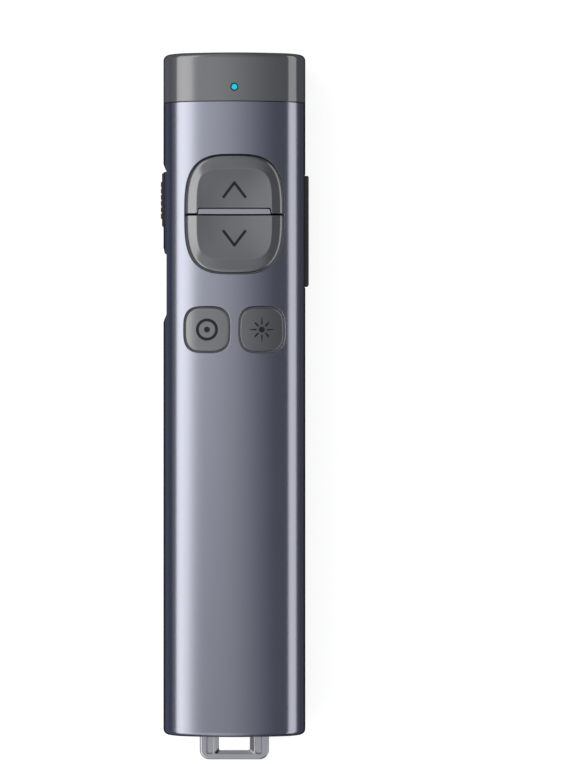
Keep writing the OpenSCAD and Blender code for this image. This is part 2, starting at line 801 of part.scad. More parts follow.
module power_slider() color([0.50, 0.52, 0.60]) difference() {
    chamfer_l = 1.2;
    chamfer_d = 0.3;
    overlap = 0.1;
    union() {
        intersection() {
            along(plate_low_y, plate_top_y) section();
            translate([0, 0, plate_z0]) linear_extrude(body_t) polygon([[-plate_in, plate_low_y],
                [-plate_in, plate_top_y], [-body_w / 2, plate_top_y],
                [-body_w / 2, plate_low_y + chamfer_l], [-body_w / 2 + chamfer_d, plate_low_y]]);
        }
        box(-plate_in - overlap, -carriage_x, slider_y - slider_stem_l / 2,
            slider_y + slider_stem_l / 2, side_z - slider_stem_h / 2, side_z + slider_stem_h / 2);
    }
    grip_seat(1);
}

module slider_grip() color([0.13, 0.13, 0.14]) {
    rib_drop = 2.3;
    first = grip_top - rib_drop;
    grip_seat(grip_rise);
    for (i = [0 : rib_count - 1]) intersection() {
        translate([-body_w / 2 - grip_rise, first - i * rib_pitch, plate_z0 + grip_edge])
            cylinder(h = slider_h - 2 * grip_edge, r = 2 * rib_rise, $fn = 24);
        box(-body_w / 2 - grip_rise - rib_rise, -body_w / 2 + grip_sink / 2, plate_low_y, plate_top_y,
            plate_z0, plate_z0 + slider_h);
    }
}

// The carriage: a plate behind the slot, with two tines that hold the switch lever between them.
carriage_past_l = 1.5;
carriage_past_h = 1.1;
carriage_half_l = slider_stem_l / 2 + carriage_past_l;
carriage_half_h = slider_stem_h / 2 + carriage_past_h;
tine_t = 1;
tine_l = 1.2;
tine_gap = 0.15;
module slider_carriage() color([0.2, 0.2, 0.22]) {
    box(-carriage_x, -carriage_x + carriage_t, slider_y - carriage_half_l, slider_y + carriage_half_l,
        side_z - carriage_half_h, side_z + carriage_half_h);
    for (way = [-1, 1]) {
        tine_y = slider_y + way * (lever_w / 2 + slide_gap + tine_t / 2);
        box(-carriage_x + carriage_t - eps, -carriage_x + carriage_t + tine_l, tine_y - tine_t / 2,
            tine_y + tine_t / 2, side_z - carriage_half_h, board_z - tine_gap);
    }
}

// The slide switch under the board's left edge, and its lever.
lever_out = carriage_x - carriage_t - slide_gap;
power_w = 3.4;
power_h = 2.6;
power_end = 3;
power_wall = 0.5;
lever_gap = 0.1;
power_out_x = board_w / 2 - 0.5;
power_z = board_z - power_h;
module power_switch() color([0.55, 0.56, 0.58]) difference() {
    box(-power_out_x, -power_out_x + power_w, slider_y - slider_travel - lever_w / 2 - power_end,
        slider_y + lever_w / 2 + power_end, power_z, board_z);
    box(-far, -power_out_x + power_w - power_wall, slider_y - slider_travel - lever_w / 2 - lever_gap,
        slider_y + lever_w / 2 + lever_gap, power_z + power_wall, board_z - power_wall);
}

module power_switch_lever() color([0.1, 0.1, 0.11])
    box(-lever_out, -power_out_x + power_w - power_wall - lever_gap, slider_y - lever_w / 2,
        slider_y + lever_w / 2, power_z + power_wall + lever_gap, board_z - power_wall - lever_gap);

module volume_rocker() color([0.13, 0.13, 0.14]) difference() {
    edge = 0.35;
    y0 = rocker_y - rocker_l / 2;
    y1 = rocker_y + rocker_l / 2;
    union() {
        translate([0, 0, rocker_z - rocker_h / 2]) linear_extrude(rocker_h) polygon([
            [rocker_in_x, y0], [rocker_out_x - edge, y0], [rocker_out_x, y0 + edge],
            [rocker_out_x, y1 - edge], [rocker_out_x - edge, y1], [rocker_in_x, y1]]);
        post(pin_x, rocker_y, rocker_pin_d + 2 * rocker_boss, rocker_z - rocker_h / 2,
            rocker_z + rocker_h / 2);
    }
    post(pin_x, rocker_y, rocker_pin_d + 2 * plunger_gap, 0, far);
}

module rocker_pin() color([0.75, 0.75, 0.77])
    post(pin_x, rocker_y, rocker_pin_d, rocker_z - rocker_h / 2 - ear_gap - ear_t,
        rocker_z + rocker_h / 2 + ear_gap + ear_t);

// Side switches under the rocker: way is 1 for the upper, -1 for the lower.
side_body_x = board_w / 2 - 0.3;
side_switch_w = 3.2;
side_switch_l = 4.4;
side_well = 1.8;
side_plunger_in = 1.2;
side_plunger_gap = 0.02;
module side_switch(way) color([0.55, 0.56, 0.58]) difference() {
    y = rocker_y + way * rocker_reach;
    box(side_body_x - side_switch_w, side_body_x, y - side_switch_l / 2, y + side_switch_l / 2,
        board_z - side_switch_h, board_z);
    rod_x(side_plunger_d + 2 * plunger_gap, side_body_x - side_well, far, y, side_plunger_z);
}

module side_plunger(way) color([0.1, 0.1, 0.11])
    rod_x(side_plunger_d, side_body_x - side_plunger_in, rocker_in_x - side_plunger_gap,
        rocker_y + way * rocker_reach, side_plunger_z);

module volume_up_switch() side_switch(1);
module volume_up_plunger() side_plunger(1);
module volume_down_switch() side_switch(-1);
module volume_down_plunger() side_plunger(-1);

// A sloping-sided hole: the bevel is where two wedge prisms meet.
module ring_window() {
    web = 1.2;
    top = ring_z + ring_t / 2;
    half = ring_hole / 2;
    low = ring_low_y + ring_bar;
    high = shoulder_y - web;
    low_bevel = ring_bevel * 0.6;
    intersection() {
        along(end_y - far, end_y + far) polygon([[-half, 0], [half, 0], [half, top - ring_bevel],
            [half + ring_bevel, top], [half + ring_bevel, far], [-half - ring_bevel, far],
            [-half - ring_bevel, top], [-half, top - ring_bevel]]);
        translate([far, 0, 0]) rotate([90, 0, -90]) linear_extrude(2 * far) polygon([
            [-low - low_bevel, 0], [-low - low_bevel, top - ring_bevel], [-low, top], [-low, far],
            [-high, far], [-high, 0]]);
    }
}

module lanyard_ring() color([0.62, 0.62, 0.65]) difference() {
    groove_rib = 0.25;
    groove_drop = 0.55;
    groove_stop = 0.8;
    z0 = ring_z - ring_t / 2;
    groove_x = ring_hole / 2 + ring_bevel + groove_rib;
    groove_y = ring_low_y + ring_bar - groove_drop;
    union() {
        translate([0, 0, z0]) linear_extrude(ring_t) {
            for (side = [-1, 1]) translate([side * (ring_w / 2 - ring_corner), ring_low_y + ring_corner])
                circle(r = ring_corner);
            polygon([[-ring_w / 2, ring_low_y + ring_corner], [-ring_w / 2 + ring_corner, ring_low_y],
                [ring_w / 2 - ring_corner, ring_low_y], [ring_w / 2, ring_low_y + ring_corner],
                [ring_w / 2, ring_in_y], [-ring_w / 2, ring_in_y]]);
        }
        box(-ring_w / 2 - shoulder, ring_w / 2 + shoulder, shoulder_y, ring_in_y, z0, z0 + ring_t);
    }
    ring_window();
    for (side = [-1, 1]) {
        x = side > 0 ? groove_x : -groove_x - groove_w;
        box(x, x + groove_w, groove_y + groove_w / 2, shoulder_y - groove_stop, z0 + ring_t - groove_d,
            far);
        post(x + groove_w / 2, groove_y + groove_w / 2, groove_w, z0 + ring_t - groove_d, far);
    }
}

module ring_guide() color([0.2, 0.2, 0.22]) {
    half = ring_w / 2 + shoulder + ring_gap;
    z0 = ring_z - ring_t / 2 - ring_gap;
    z1 = ring_z + ring_t / 2 + ring_gap;
    difference() {
        box(-half - guide_wall, half + guide_wall, cap_in_y, guide_y + guide_wall, z0 - guide_wall,
            z1 + guide_wall);
        box(-half, half, cap_in_y - 1, guide_y, z0, z1);
    }
}

// The board's notch leaves room for the rocker's boss and its ears.
notch_gap = 0.4;
notch_end_gap = 1;
module main_board() color([0.08, 0.25, 0.16]) difference() {
    notch_in = pin_x - rocker_pin_d / 2 - rocker_boss - notch_gap;
    notch_half = rocker_pin_d / 2 + rocker_boss + notch_end_gap;
    box(-board_w / 2, board_w / 2, board_y0, board_y1, board_z, board_top);
    at_posts() post(0, 0, screw_d + 2 * screw_gap, 0, far);
    box(notch_in, body_w, rocker_y - notch_half, rocker_y + notch_half, 0, far);
}

module board_screws() color([0.75, 0.75, 0.77]) at_posts() {
    head_t = screw_head_d * 0.35;
    cross_l = screw_head_d * 0.6;
    cross_w = screw_head_d * 0.14;
    difference() {
        union() {
            post(0, 0, screw_head_d, board_z - head_t, board_z);
            post(0, 0, screw_d, board_z - eps, board_top + screw_bite);
        }
        for (turn = [0, 90]) rotate(turn)
            translate([-cross_l / 2, -cross_w / 2, board_z - head_t - eps])
                cube([cross_l, cross_w, head_t * 0.65]);
    }
}

// A part in the middle of the board's underside: its size along X, Y and Z, and where it starts.
module under_board(size, y0)
    box(-size[0] / 2, size[0] / 2, y0, y0 + size[1], board_z - size[2], board_z);

module radio_chip() color([0.1, 0.1, 0.1]) under_board([6, 6, 0.9], page_y + 3);
module chip_antenna() color([0.9, 0.9, 0.86]) under_board([8, 2.8, 1], board_y1 - 3.4);
module crystal() color([0.8, 0.8, 0.8]) under_board([3.2, 2.5, 0.8], page_y - 1.5);

module battery() color([0.75, 0.76, 0.78])
    translate([0, 0, battery_z + battery_t / 2]) along(battery_y0, battery_y1)
        slot_shape(battery_w, battery_t);
pad_inset = 2;
module battery_pad() color([0.95, 0.95, 0.9])
    box(-battery_w / 2 + battery_t / 2, battery_w / 2 - battery_t / 2, battery_y0 + pad_inset,
        battery_y1 - pad_inset, wall, battery_z);

// A lead with square-set bends, through a list of points.
module lead(points) {
    for (i = [0 : len(points) - 2]) {
        run = points[i + 1] - points[i];
        translate(points[i]) rotate([0, acos(run[2] / norm(run)), atan2(run[1], run[0])])
            cylinder(h = norm(run), d = wire_d, $fn = 16);
    }
    for (i = [1 : len(points) - 2]) translate(points[i]) sphere(d = wire_d, $fn = 16);
}

// The battery's leads rise under the board, past its end and past the battery's.
leads_past = 1.4;
module battery_leads() {
    stop_y = max(board_y0, battery_y1) + leads_past;
    lead_z = battery_z + battery_t - 1;
    for (x = [-2, 2]) color(x > 0 ? [0.7, 0.08, 0.06] : [0.08, 0.08, 0.08])
        lead([[x, battery_y1, lead_z], [x, stop_y, lead_z], [x, stop_y, board_z]]);
}

module charge_board() color([0.08, 0.25, 0.16])
    box(-charge_w / 2, charge_w / 2, charge_y0, charge_y1, charge_z, charge_z + board_t);
module charge_chip() color([0.1, 0.1, 0.1]) {
    chip_w = 3;
    chip_h = 0.9;
    chip_y = charge_y1 - 5;
    box(-chip_w / 2, chip_w / 2, chip_y, chip_y + chip_w, charge_z + board_t,
        charge_z + board_t + chip_h);
}

module charge_leads() {
    start_x = 6;
    start_y = charge_y1 - 1.5;
    stop_y = board_y0 + 7;
    low_z = charge_z + board_t;
    run_z = battery_z + battery_t / 2;
    for (side = [-1, 1]) color(side > 0 ? [0.7, 0.08, 0.06] : [0.08, 0.08, 0.08])
        lead([[side * start_x, start_y, low_z], [side * start_x, start_y, run_z],
            [side * lead_x, start_y, run_z], [side * lead_x, stop_y, run_z],
            [side * lead_x, stop_y, board_z]]);
}

usb_back = 0.6;
tongue_w = 6.7;
tongue_t = 0.7;
tongue_in = 1;
module usb_c_shell() color([0.78, 0.78, 0.8]) translate([0, 0, usb_z]) difference() {
    along(usb_y0, usb_y0 + usb_l) slot_shape(usb_w, usb_h);
    along(usb_y0 - 1, usb_y0 + usb_l - usb_back)
        slot_shape(usb_w - 2 * usb_wall, usb_h - 2 * usb_wall);
}
module usb_c_tongue() color([0.1, 0.1, 0.11])
    box(-tongue_w / 2, tongue_w / 2, usb_y0 + tongue_in, usb_y0 + usb_l - usb_back,
        usb_z - tongue_t / 2, usb_z + tongue_t / 2);

barrel_lip = 1;
barrel_y1 = barrel_y0 + barrel_l;
module laser_barrel() color([0.78, 0.62, 0.3]) difference() {
    rod_y(barrel_d, barrel_y0, barrel_y1, 0, laser_z);
    rod_y(barrel_bore, barrel_y0 - 1, barrel_y1 - barrel_lip, 0, laser_z);
    rod_y(beam_d, barrel_y0, barrel_y1 + 1, 0, laser_z);
}
module laser_lens() color([0.7, 0.85, 0.95])
    rod_y(barrel_bore - 2 * plunger_gap, barrel_y1 - barrel_lip - lens_t, barrel_y1 - barrel_lip, 0,
        laser_z);
module laser_diode() color([0.8, 0.7, 0.4]) {
    flange = 1.2;
    can_d = 3.2;
    can_l = 2.2;
    rod_y(barrel_bore - 2 * plunger_gap, barrel_y0, barrel_y0 + flange, 0, laser_z);
    rod_y(can_d, barrel_y0 + flange - eps, barrel_y0 + flange + can_l, 0, laser_z);
}
module laser_leads() color([0.8, 0.7, 0.4]) {
    pin_d = 0.45;
    pin_out = 1.2;
    for (side = [-1, 1])
        rod_y(pin_d, board_y1 - pin_out, barrel_y0, side * pin_out, board_top + pin_d / 2);
    rod_y(pin_d, board_y1 - pin_out / 2, barrel_y0, 0, board_z - pin_d / 2);
}
module nose_window() color([0.15, 0.05, 0.06, 0.8])
    rod_y(window_d, top_y - window_t - window_sink, top_y - window_sink, 0, laser_z);

module status_board() color([0.08, 0.25, 0.16])
    box(-status_w / 2, status_w / 2, light_y - status_l / 2, light_y + status_l / 2, status_z,
        status_z + status_t);
module status_led() color([0.95, 0.95, 0.8]) {
    led_w = 1.6;
    led_l = 0.8;
    box(-led_w / 2, led_w / 2, light_y - led_l / 2, light_y + led_l / 2, status_z + status_t,
        status_z + status_t + led_t);
}
module status_light_pipe() color([0.1, 0.8, 0.88]) {
    pipe_gap = 0.05;
    pipe_foot_d = 2.4;
    pipe_sink = 0.06;
    foot = status_z + status_t + led_t + pipe_gap;
    post(0, light_y, pipe_foot_d, foot, nose_in_z - pipe_gap);
    post(0, light_y, light_d, foot, body_t - pipe_sink);
}
module status_bezel() color([0.05, 0.12, 0.25]) difference() {
    post(0, light_y, light_rim_d, nose_in_z, body_t - rim_gap);
    post(0, light_y, light_d + 2 * rim_gap, 0, far);
}

front_shell();
back_cover();
nose_cap();
end_cap();
page_up_key();
page_up_mark();
page_down_key();
page_down_mark();
key_divider();
spotlight_key();
target_mark();
laser_key();
star_mark();
key_frame();
page_up_switch();
page_up_plunger();
page_down_switch();
page_down_plunger();
spotlight_switch();
spotlight_plunger();
laser_switch();
laser_plunger();
power_slider();
slider_grip();
slider_carriage();
power_switch();
power_switch_lever();
volume_rocker();
rocker_pin();
volume_up_switch();
volume_up_plunger();
volume_down_switch();
volume_down_plunger();
lanyard_ring();
ring_guide();
main_board();
board_screws();
radio_chip();
chip_antenna();
crystal();
battery();
battery_pad();
battery_leads();
charge_board();
charge_chip();
charge_leads();
usb_c_shell();
usb_c_tongue();
laser_barrel();
laser_lens();
laser_diode();
laser_leads();
nose_window();
status_board();
status_led();
status_light_pipe();
status_bezel();
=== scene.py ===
"""Looks of the presentation clicker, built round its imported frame. Lengths in the geometry part are in mm."""

import json
import math

import bpy
import numpy as np
from mathutils import Matrix, Vector
from mathutils.geometry import delaunay_2d_cdt


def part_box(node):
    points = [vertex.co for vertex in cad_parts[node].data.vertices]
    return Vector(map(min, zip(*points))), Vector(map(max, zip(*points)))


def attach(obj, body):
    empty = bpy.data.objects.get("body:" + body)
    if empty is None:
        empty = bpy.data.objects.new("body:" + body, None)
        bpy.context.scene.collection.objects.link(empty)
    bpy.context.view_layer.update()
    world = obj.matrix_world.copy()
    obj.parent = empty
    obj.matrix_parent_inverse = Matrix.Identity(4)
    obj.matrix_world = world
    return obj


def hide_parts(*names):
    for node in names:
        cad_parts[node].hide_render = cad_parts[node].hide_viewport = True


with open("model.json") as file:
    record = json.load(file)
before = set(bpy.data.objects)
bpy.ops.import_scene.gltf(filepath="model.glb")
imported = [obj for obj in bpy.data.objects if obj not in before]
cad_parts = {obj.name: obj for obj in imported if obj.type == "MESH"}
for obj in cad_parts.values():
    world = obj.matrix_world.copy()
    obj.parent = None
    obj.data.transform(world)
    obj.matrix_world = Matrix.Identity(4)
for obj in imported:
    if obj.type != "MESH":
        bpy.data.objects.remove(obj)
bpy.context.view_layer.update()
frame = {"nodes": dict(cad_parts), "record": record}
nodes = frame["nodes"]
MM = 0.001

# ---------------------------------------------------------------- sizes, in mm, as in the part's source
body_l, body_w, body_t = 142.5, 29.8, 17.0
crown_r, front_r, back_r, wall = 34.0, 6.2, 6.2, 1.4
split_z, seam, fit_gap, nose_lining, nose_wall = 3.4, 0.12, 0.06, 1.1, 1.6
top_y, end_y = body_l / 2, -body_l / 2
nose_y = top_y - 10.25
plug_y = nose_y - 4.0
page_y = nose_y - 23.45
page_w, page_l, rim_w, key_gap, key_power = 20.0, 24.2, 2.3, 0.35, 3.2
rim_z, dish_depth, rim_lift, rim_start = body_t + 0.75, 0.5, 0.25, 0.58
dish_z = rim_z - dish_depth
split_y, split_gap = page_y - 0.1, 0.4
dish_w, dish_l, dish_power = 15.6, 18.9, 4.3
bar_w, bar_l, bar_gap, bar_top, bar_taper, bar_corner = 15.2, 1.15, 0.15, dish_z + 0.25, 0.15, 0.3
bar_y = split_y + 0.05
small_y, small_pitch, small_w, small_rise = page_y - 24.0, 11.42, 9.0, 0.15
flange_w, flange_t, stem_d = 0.9, 0.7, 2.8
slider_y, slider_l, slider_h, slider_travel = nose_y - 22.8, 17.0, 5.2, 6.0
recess_d, recess_l, ramp_l = 0.69, 30.0, 1.6
rocker_y, rocker_l, rocker_h, rocker_rise = nose_y - 26.67, 23.2, 4.8, 0.7
pin_depth, rocker_pin_d = 2.6, 1.2
ring_w, ring_t, ring_out, ring_bar, ring_hole, ring_bevel = 14.5, 2.8, 5.15, 1.7, 6.5, 0.9
ring_corner, groove_w, groove_d, ring_z, shoulder, shoulder_l = 2.0, 1.5, 0.35, 10.0, 1.1, 2.0
laser_z, barrel_d, sleeve_wall, beam_d, window_d, window_t = body_t / 2, 6.0, 1.05, 4.0, 5.0, 0.7
light_y, light_rim_d = nose_y + 3.0, 1.6
end_round = 1.1
edge_round = 0.1
key_round = 0.15

crown_z = body_t - crown_r
front_cx, back_cx = body_w / 2 - front_r, body_w / 2 - back_r
front_cz = crown_z + math.sqrt((crown_r - front_r) ** 2 - front_cx ** 2)
turn0 = math.asin(front_cx / (crown_r - front_r))
arc1 = crown_r * turn0
arc2 = arc1 + front_r * (math.pi / 2 - turn0)
arc3 = arc2 + front_cz - back_r
arc4 = arc3 + back_r * math.pi / 2
arc5 = arc4 + back_cx

side_z = (front_cz + back_r) / 2
floor_x = body_w / 2 - recess_d
plate_in = floor_x + 0.05
recess_y1 = slider_y + slider_l / 2 + 0.15
recess_y0 = recess_y1 - recess_l
board_top = wall + 0.2 + 5.0 + 1.4 + 1.0
board_z = board_top - 1.0
plunger_top = board_top + 1.8 + 0.4
clear = 0.03


# ---------------------------------------------------------------- mesh building
class Build:
    """Collects faces with a normal for each corner. Points at the same place become one vertex."""

    def __init__(self):
        self.points, self.index, self.faces, self.normals = [], {}, [], []

    def vertex(self, p):
        key = (round(p[0], 4), round(p[1], 4), round(p[2], 4))
        if key not in self.index:
            self.index[key] = len(self.points)
            self.points.append(key)
        return self.index[key]

    def face(self, points, normals, flat=False):
        ids, kept = [], []
        for p, n in zip(points, normals):
            i = self.vertex(p)
            if i not in ids:
                ids.append(i)
                kept.append(np.array(n, float))
        if len(ids) < 3:
            return
        pts = [np.array(self.points[i]) for i in ids]
        area = np.zeros(3)
        for k in range(1, len(pts) - 1):
            area += np.cross(pts[k] - pts[0], pts[k + 1] - pts[0])
        size = np.linalg.norm(area)
        if size < 1e-9:
            return
        if np.dot(area, sum(kept)) < 0:
            ids.reverse()
            kept.reverse()
            area = -area
        self.faces.append(ids)
        self.normals.append([area / size] * len(ids) if flat else kept)

    def strip(self, rows, closed=True, flat=False):
        """Rows of (points, normals), joined by faces."""
        for (pa, na), (pb, nb) in zip(rows, rows[1:]):
            count = len(pa)
            for i in range(count if closed else count - 1):
                j = (i + 1) % count
                self.face([pa[i], pa[j], pb[j], pb[i]], [na[i], na[j], nb[j], nb[i]], flat)

    def cap(self, loops, place, normal, grid=(), lines=(), near=0.3):
        """Fills the region between closed 2-D loops with triangles through the grid points inside it."""
        pts, edges = [], []
        for loop in loops:
            start = len(pts)
            pts += [(float(p[0]), float(p[1])) for p in loop]
            edges += [(start + i, start + (i + 1) % len(loop)) for i in range(len(loop))]
        for line in lines:
            start = len(pts)
            pts += [(float(p[0]), float(p[1])) for p in line]
            edges += [(start + i, start + i + 1) for i in range(len(line) - 1)]
        if len(grid):
            grid = np.array(grid, float)
            fixed = np.array(pts)
            gap = np.array([np.min(np.abs(fixed - g).max(axis=1)) for g in grid])
            grid = grid[(gap > near) & inside(grid, loops)]
            pts += [tuple(g) for g in grid.tolist()]
        out = delaunay_2d_cdt([Vector(p) for p in pts], edges, [], 0, 1e-6, True)
        verts, tris, origin = out[0], out[2], out[3]
        flat_pts = [pts[o[0]] if len(o) else tuple(v) for v, o in zip(verts, origin)]
        middle = np.array([np.mean([flat_pts[i] for i in t], axis=0) for t in tris])
        for t, m, keep in zip(tris, middle, inside(middle, loops)):
            if keep:
                self.face([place(*flat_pts[i]) for i in t], [normal(*flat_pts[i], *m) for i in t])

    def prism(self, loop, at, z0, z1, edge=0.1):
        """A closed plate: a 2-D outline between two levels, with rounded edges. at(u, v, w) places a point."""
        loop = np.array(loop, float)
        into = inward(loop)
        up = np.array(at(0, 0, 1)) - np.array(at(0, 0, 0))
        out3 = [np.array(at(*(-unit(m)), 0)) - np.array(at(0, 0, 0)) for m in into]
        rows = []
        steps = 3
        for k in range(steps + 1):
            a = math.pi / 2 * k / steps
            ring = loop + into * edge * (1 - math.sin(a))
            z = z1 - edge * (1 - math.cos(a))
            rows.append(([at(p[0], p[1], z) for p in ring], [math.cos(a) * up + math.sin(a) * o for o in out3]))
        for k in range(steps, -1, -1):
            a = math.pi / 2 * k / steps
            ring = loop + into * edge * (1 - math.sin(a))
            z = z0 + edge * (1 - math.cos(a))
            rows.append(([at(p[0], p[1], z) for p in ring], [-math.cos(a) * up + math.sin(a) * o for o in out3]))
        self.strip(rows)
        shrunk = loop + into * edge
        self.cap([shrunk], lambda u, v: at(u, v, z1), lambda *a: up)
        self.cap([shrunk], lambda u, v: at(u, v, z0), lambda *a: -up)

    def object(self, name):
        mesh = bpy.data.meshes.new(name)
        mesh.from_pydata([tuple(c * MM for c in p) for p in self.points], [], self.faces)
        mesh.polygons.foreach_set("use_smooth", [True] * len(self.faces))
        flat = [tuple(unit(n)) for face in self.normals for n in face]
        mesh.normals_split_custom_set(flat)
        mesh.update()
        obj = bpy.data.objects.new(name, mesh)
        bpy.context.scene.collection.objects.link(obj)
        return obj


def unit(v):
    v = np.array(v, float)
    return v / max(np.linalg.norm(v), 1e-12)


def inside(points, loops):
    """True for each point that an odd number of the loops go round."""
    result = np.zeros(len(points), bool)
    x, y = points[:, 0], points[:, 1]
    for loop in loops:
        loop = np.array(loop, float)
        for (x0, y0), (x1, y1) in zip(loop, np.roll(loop, -1, axis=0)):
            if y0 == y1:
                continue
            crosses = (y0 > y) != (y1 > y)
            result ^= crosses & (x < (x1 - x0) * (y - y0) / (y1 - y0) + x0)
    return result


def inward(loop):
    """Mitred offset directions to the left of the edges, which is inside for a loop that runs anticlockwise."""
    loop = np.array(loop, float)
    back, ahead = loop - np.roll(loop, 1, axis=0), np.roll(loop, -1, axis=0) - loop
    n1 = np.stack([-back[:, 1], back[:, 0]], 1) / np.maximum(np.linalg.norm(back, axis=1), 1e-12)[:, None]
    n2 = np.stack([-ahead[:, 1], ahead[:, 0]], 1) / np.maximum(np.linalg.norm(ahead, axis=1), 1e-12)[:, None]
    return (n1 + n2) / (1 + (n1 * n2).sum(axis=1))[:, None]


def resample(loop, step):
    """Points spaced evenly along a closed loop."""
    loop = np.array(loop, float)
    ahead = np.vstack([loop, loop[:1]])
    length = np.concatenate([[0], np.cumsum(np.linalg.norm(np.diff(ahead, axis=0), axis=1))])
    count = max(8, int(round(length[-1] / step)))
    at = np.linspace(0, length[-1], count, endpoint=False)
    return np.stack([np.interp(at, length, ahead[:, 0]), np.interp(at, length, ahead[:, 1])], 1)


def super_loop(a, b, step=0.3, x=0.0, y=0.0, power=key_power):
    t = np.linspace(0, 2 * math.pi, 2880, endpoint=False)
    c, s = np.cos(t), np.sin(t)
    loop = np.stack([a * np.sign(c) * np.abs(c) ** (2 / power), b * np.sign(s) * np.abs(s) ** (2 / power)], 1)
    return resample(loop, step) + [x, y]


def round_rect(x0, x1, y0, y1, r, step=1.0, turns=4):
    """Anticlockwise rectangle with rounded corners and its sides cut in steps."""
    out = []
    for cx, cy, a0 in ((x1 - r, y0 + r, -90), (x1 - r, y1 - r, 0), (x0 + r, y1 - r, 90), (x0 + r, y0 + r, 180)):
        for k in range(turns + 1):
            a = math.radians(a0 + 90 * k / turns)
            out.append((cx + r * math.cos(a), cy + r * math.sin(a)))
    full = []
    for p, q in zip(out, out[1:] + out[:1]):
        n = max(1, int(math.dist(p, q) / step))
        full += [(p[0] + (q[0] - p[0]) * k / n, p[1] + (q[1] - p[1]) * k / n) for k in range(n)]
    return np.array(full)


def circle(r, x=0.0, y=0.0, count=48):
    return np.array([(x + r * math.cos(2 * math.pi * k / count), y + r * math.sin(2 * math.pi * k / count))
                     for k in range(count)])


def spread(a, b, step):
    return np.linspace(a, b, max(2, int(round(abs(b - a) / step)) + 1))


# ---------------------------------------------------------------- the casing's section, unrolled
def section(u):
    """Place and outward normal at the distance u along the section, from the middle of the front."""
    s, side = abs(u), (1 if u >= 0 else -1)
    if s <= arc1:
        a = s / crown_r
        x, z, nx, nz = crown_r * math.sin(a), crown_z + crown_r * math.cos(a), math.sin(a), math.cos(a)
    elif s <= arc2:
        a = turn0 + (s - arc1) / front_r
        x, z, nx, nz = front_cx + front_r * math.sin(a), front_cz + front_r * math.cos(a), math.sin(a), math.cos(a)
    elif s <= arc3:
        x, z, nx, nz = body_w / 2, front_cz - (s - arc2), 1.0, 0.0
    elif s <= arc4:
        a = math.pi / 2 + (s - arc3) / back_r
        x, z, nx, nz = back_cx + back_r * math.sin(a), back_r + back_r * math.cos(a), math.sin(a), math.cos(a)
    else:
        x, z, nx, nz = back_cx - (s - arc4), 0.0, 0.0, -1.0
    return side * x, z, side * nx, nz


def u_of_x(x, depth=0.0):
    """Distance along the section of the point of the front whose surface at that depth is at x."""
    s, side = abs(x), (1 if x >= 0 else -1)
    if s <= (crown_r - depth) * math.sin(turn0):
        return side * crown_r * math.asin(s / (crown_r - depth))
    return side * (arc1 + front_r * (math.asin(min(1, (s - front_cx) / (front_r - depth))) - turn0))


def u_of_z(z, depth=0.0):
    if z > front_cz:
        return arc1 + front_r * (math.acos((z - front_cz) / (front_r - depth)) - turn0)
    if z > back_r:
        return arc2 + front_cz - z
    return arc3 + back_r * math.asin((back_r - z) / (back_r - depth))


def outside_z(x):
    return section(u_of_x(x))[1]


def recess_limit(y):
    """How far out the left side goes at that place along the casing."""
    if recess_y0 <= y <= recess_y1:
        return floor_x
    over = recess_y0 - y if y < recess_y0 else y - recess_y1
    return min(body_w / 2, floor_x + recess_d * over / ramp_l)


class Skin:
    """The casing's surface over (u, v): v runs along Y and rolls over a rounded end."""

    def __init__(self, low=None, high=None, recess=False):
        self.low, self.high, self.recess = low, high, recess
        quarter = end_round * (math.pi / 2 - 1)
        self.v_low = None if low is None else low - quarter
        self.v_high = None if high is None else high + quarter

    def roll(self, v):
        """Y, how far the surface has sunk, and the cosine and signed sine of its turn."""
        if self.low is not None and v < self.low + end_round:
            a = (self.low + end_round - v) / end_round
            return self.low + end_round * (1 - math.sin(a)), end_round * (1 - math.cos(a)), math.cos(a), -math.sin(a)
        if self.high is not None and v > self.high - end_round:
            a = (v - self.high + end_round) / end_round
            return self.high - end_round * (1 - math.sin(a)), end_round * (1 - math.cos(a)), math.cos(a), math.sin(a)
        return v, 0.0, 1.0, 0.0

    def clamped(self, u, y):
        return self.recess and u < -arc1 and section(u)[0] < -recess_limit(y) - 1e-7

    def place(self, u, v, depth=0.0):
        x, z, nx, nz = section(u)
        y, sink, c, s = self.roll(v)
        if self.clamped(u, y):
            return (-recess_limit(y) + depth, y, z)
        drop = sink + depth * c
        return (x - nx * drop, y - s * depth, z - nz * drop)

    def normal(self, u, v, mu=None, mv=None):
        mu, mv = (u if mu is None else mu), (v if mv is None else mv)
        if self.clamped(mu, self.roll(mv)[0]):
            slope = 0.0 if recess_y0 <= mv <= recess_y1 else recess_d / ramp_l * (1 if mv > recess_y1 else -1)
            return unit((-1, -slope * -1, 0)) if slope else np.array((-1.0, 0, 0))
        _, _, nx, nz = section(u)
        _, _, c, s = self.roll(v)
        return np.array((nx * c, s, nz * c))

    def frame(self, u, v):
        """Directions of growing u and v, and the normal."""
        x, z, nx, nz = section(u)
        _, _, c, s = self.roll(v)
        side = 1 if u >= 0 else -1
        along_u = np.array((nz * side, 0, -nx * side)) * side
        along_v = np.array((-nx * s, c, -nz * s))
        return along_u, along_v, self.normal(u, v)

    def inner(self, u, v, depth, y_max=None):
        x, z, nx, nz = section(u)
        y = self.roll(v)[0]
        if y_max is not None:
            y = min(y, y_max)
        return (x - nx * depth, y, z - nz * depth)

    def inner_normal(self, u, v, mu=None, mv=None):
        _, _, nx, nz = section(u)
        return np.array((-nx, 0, -nz))


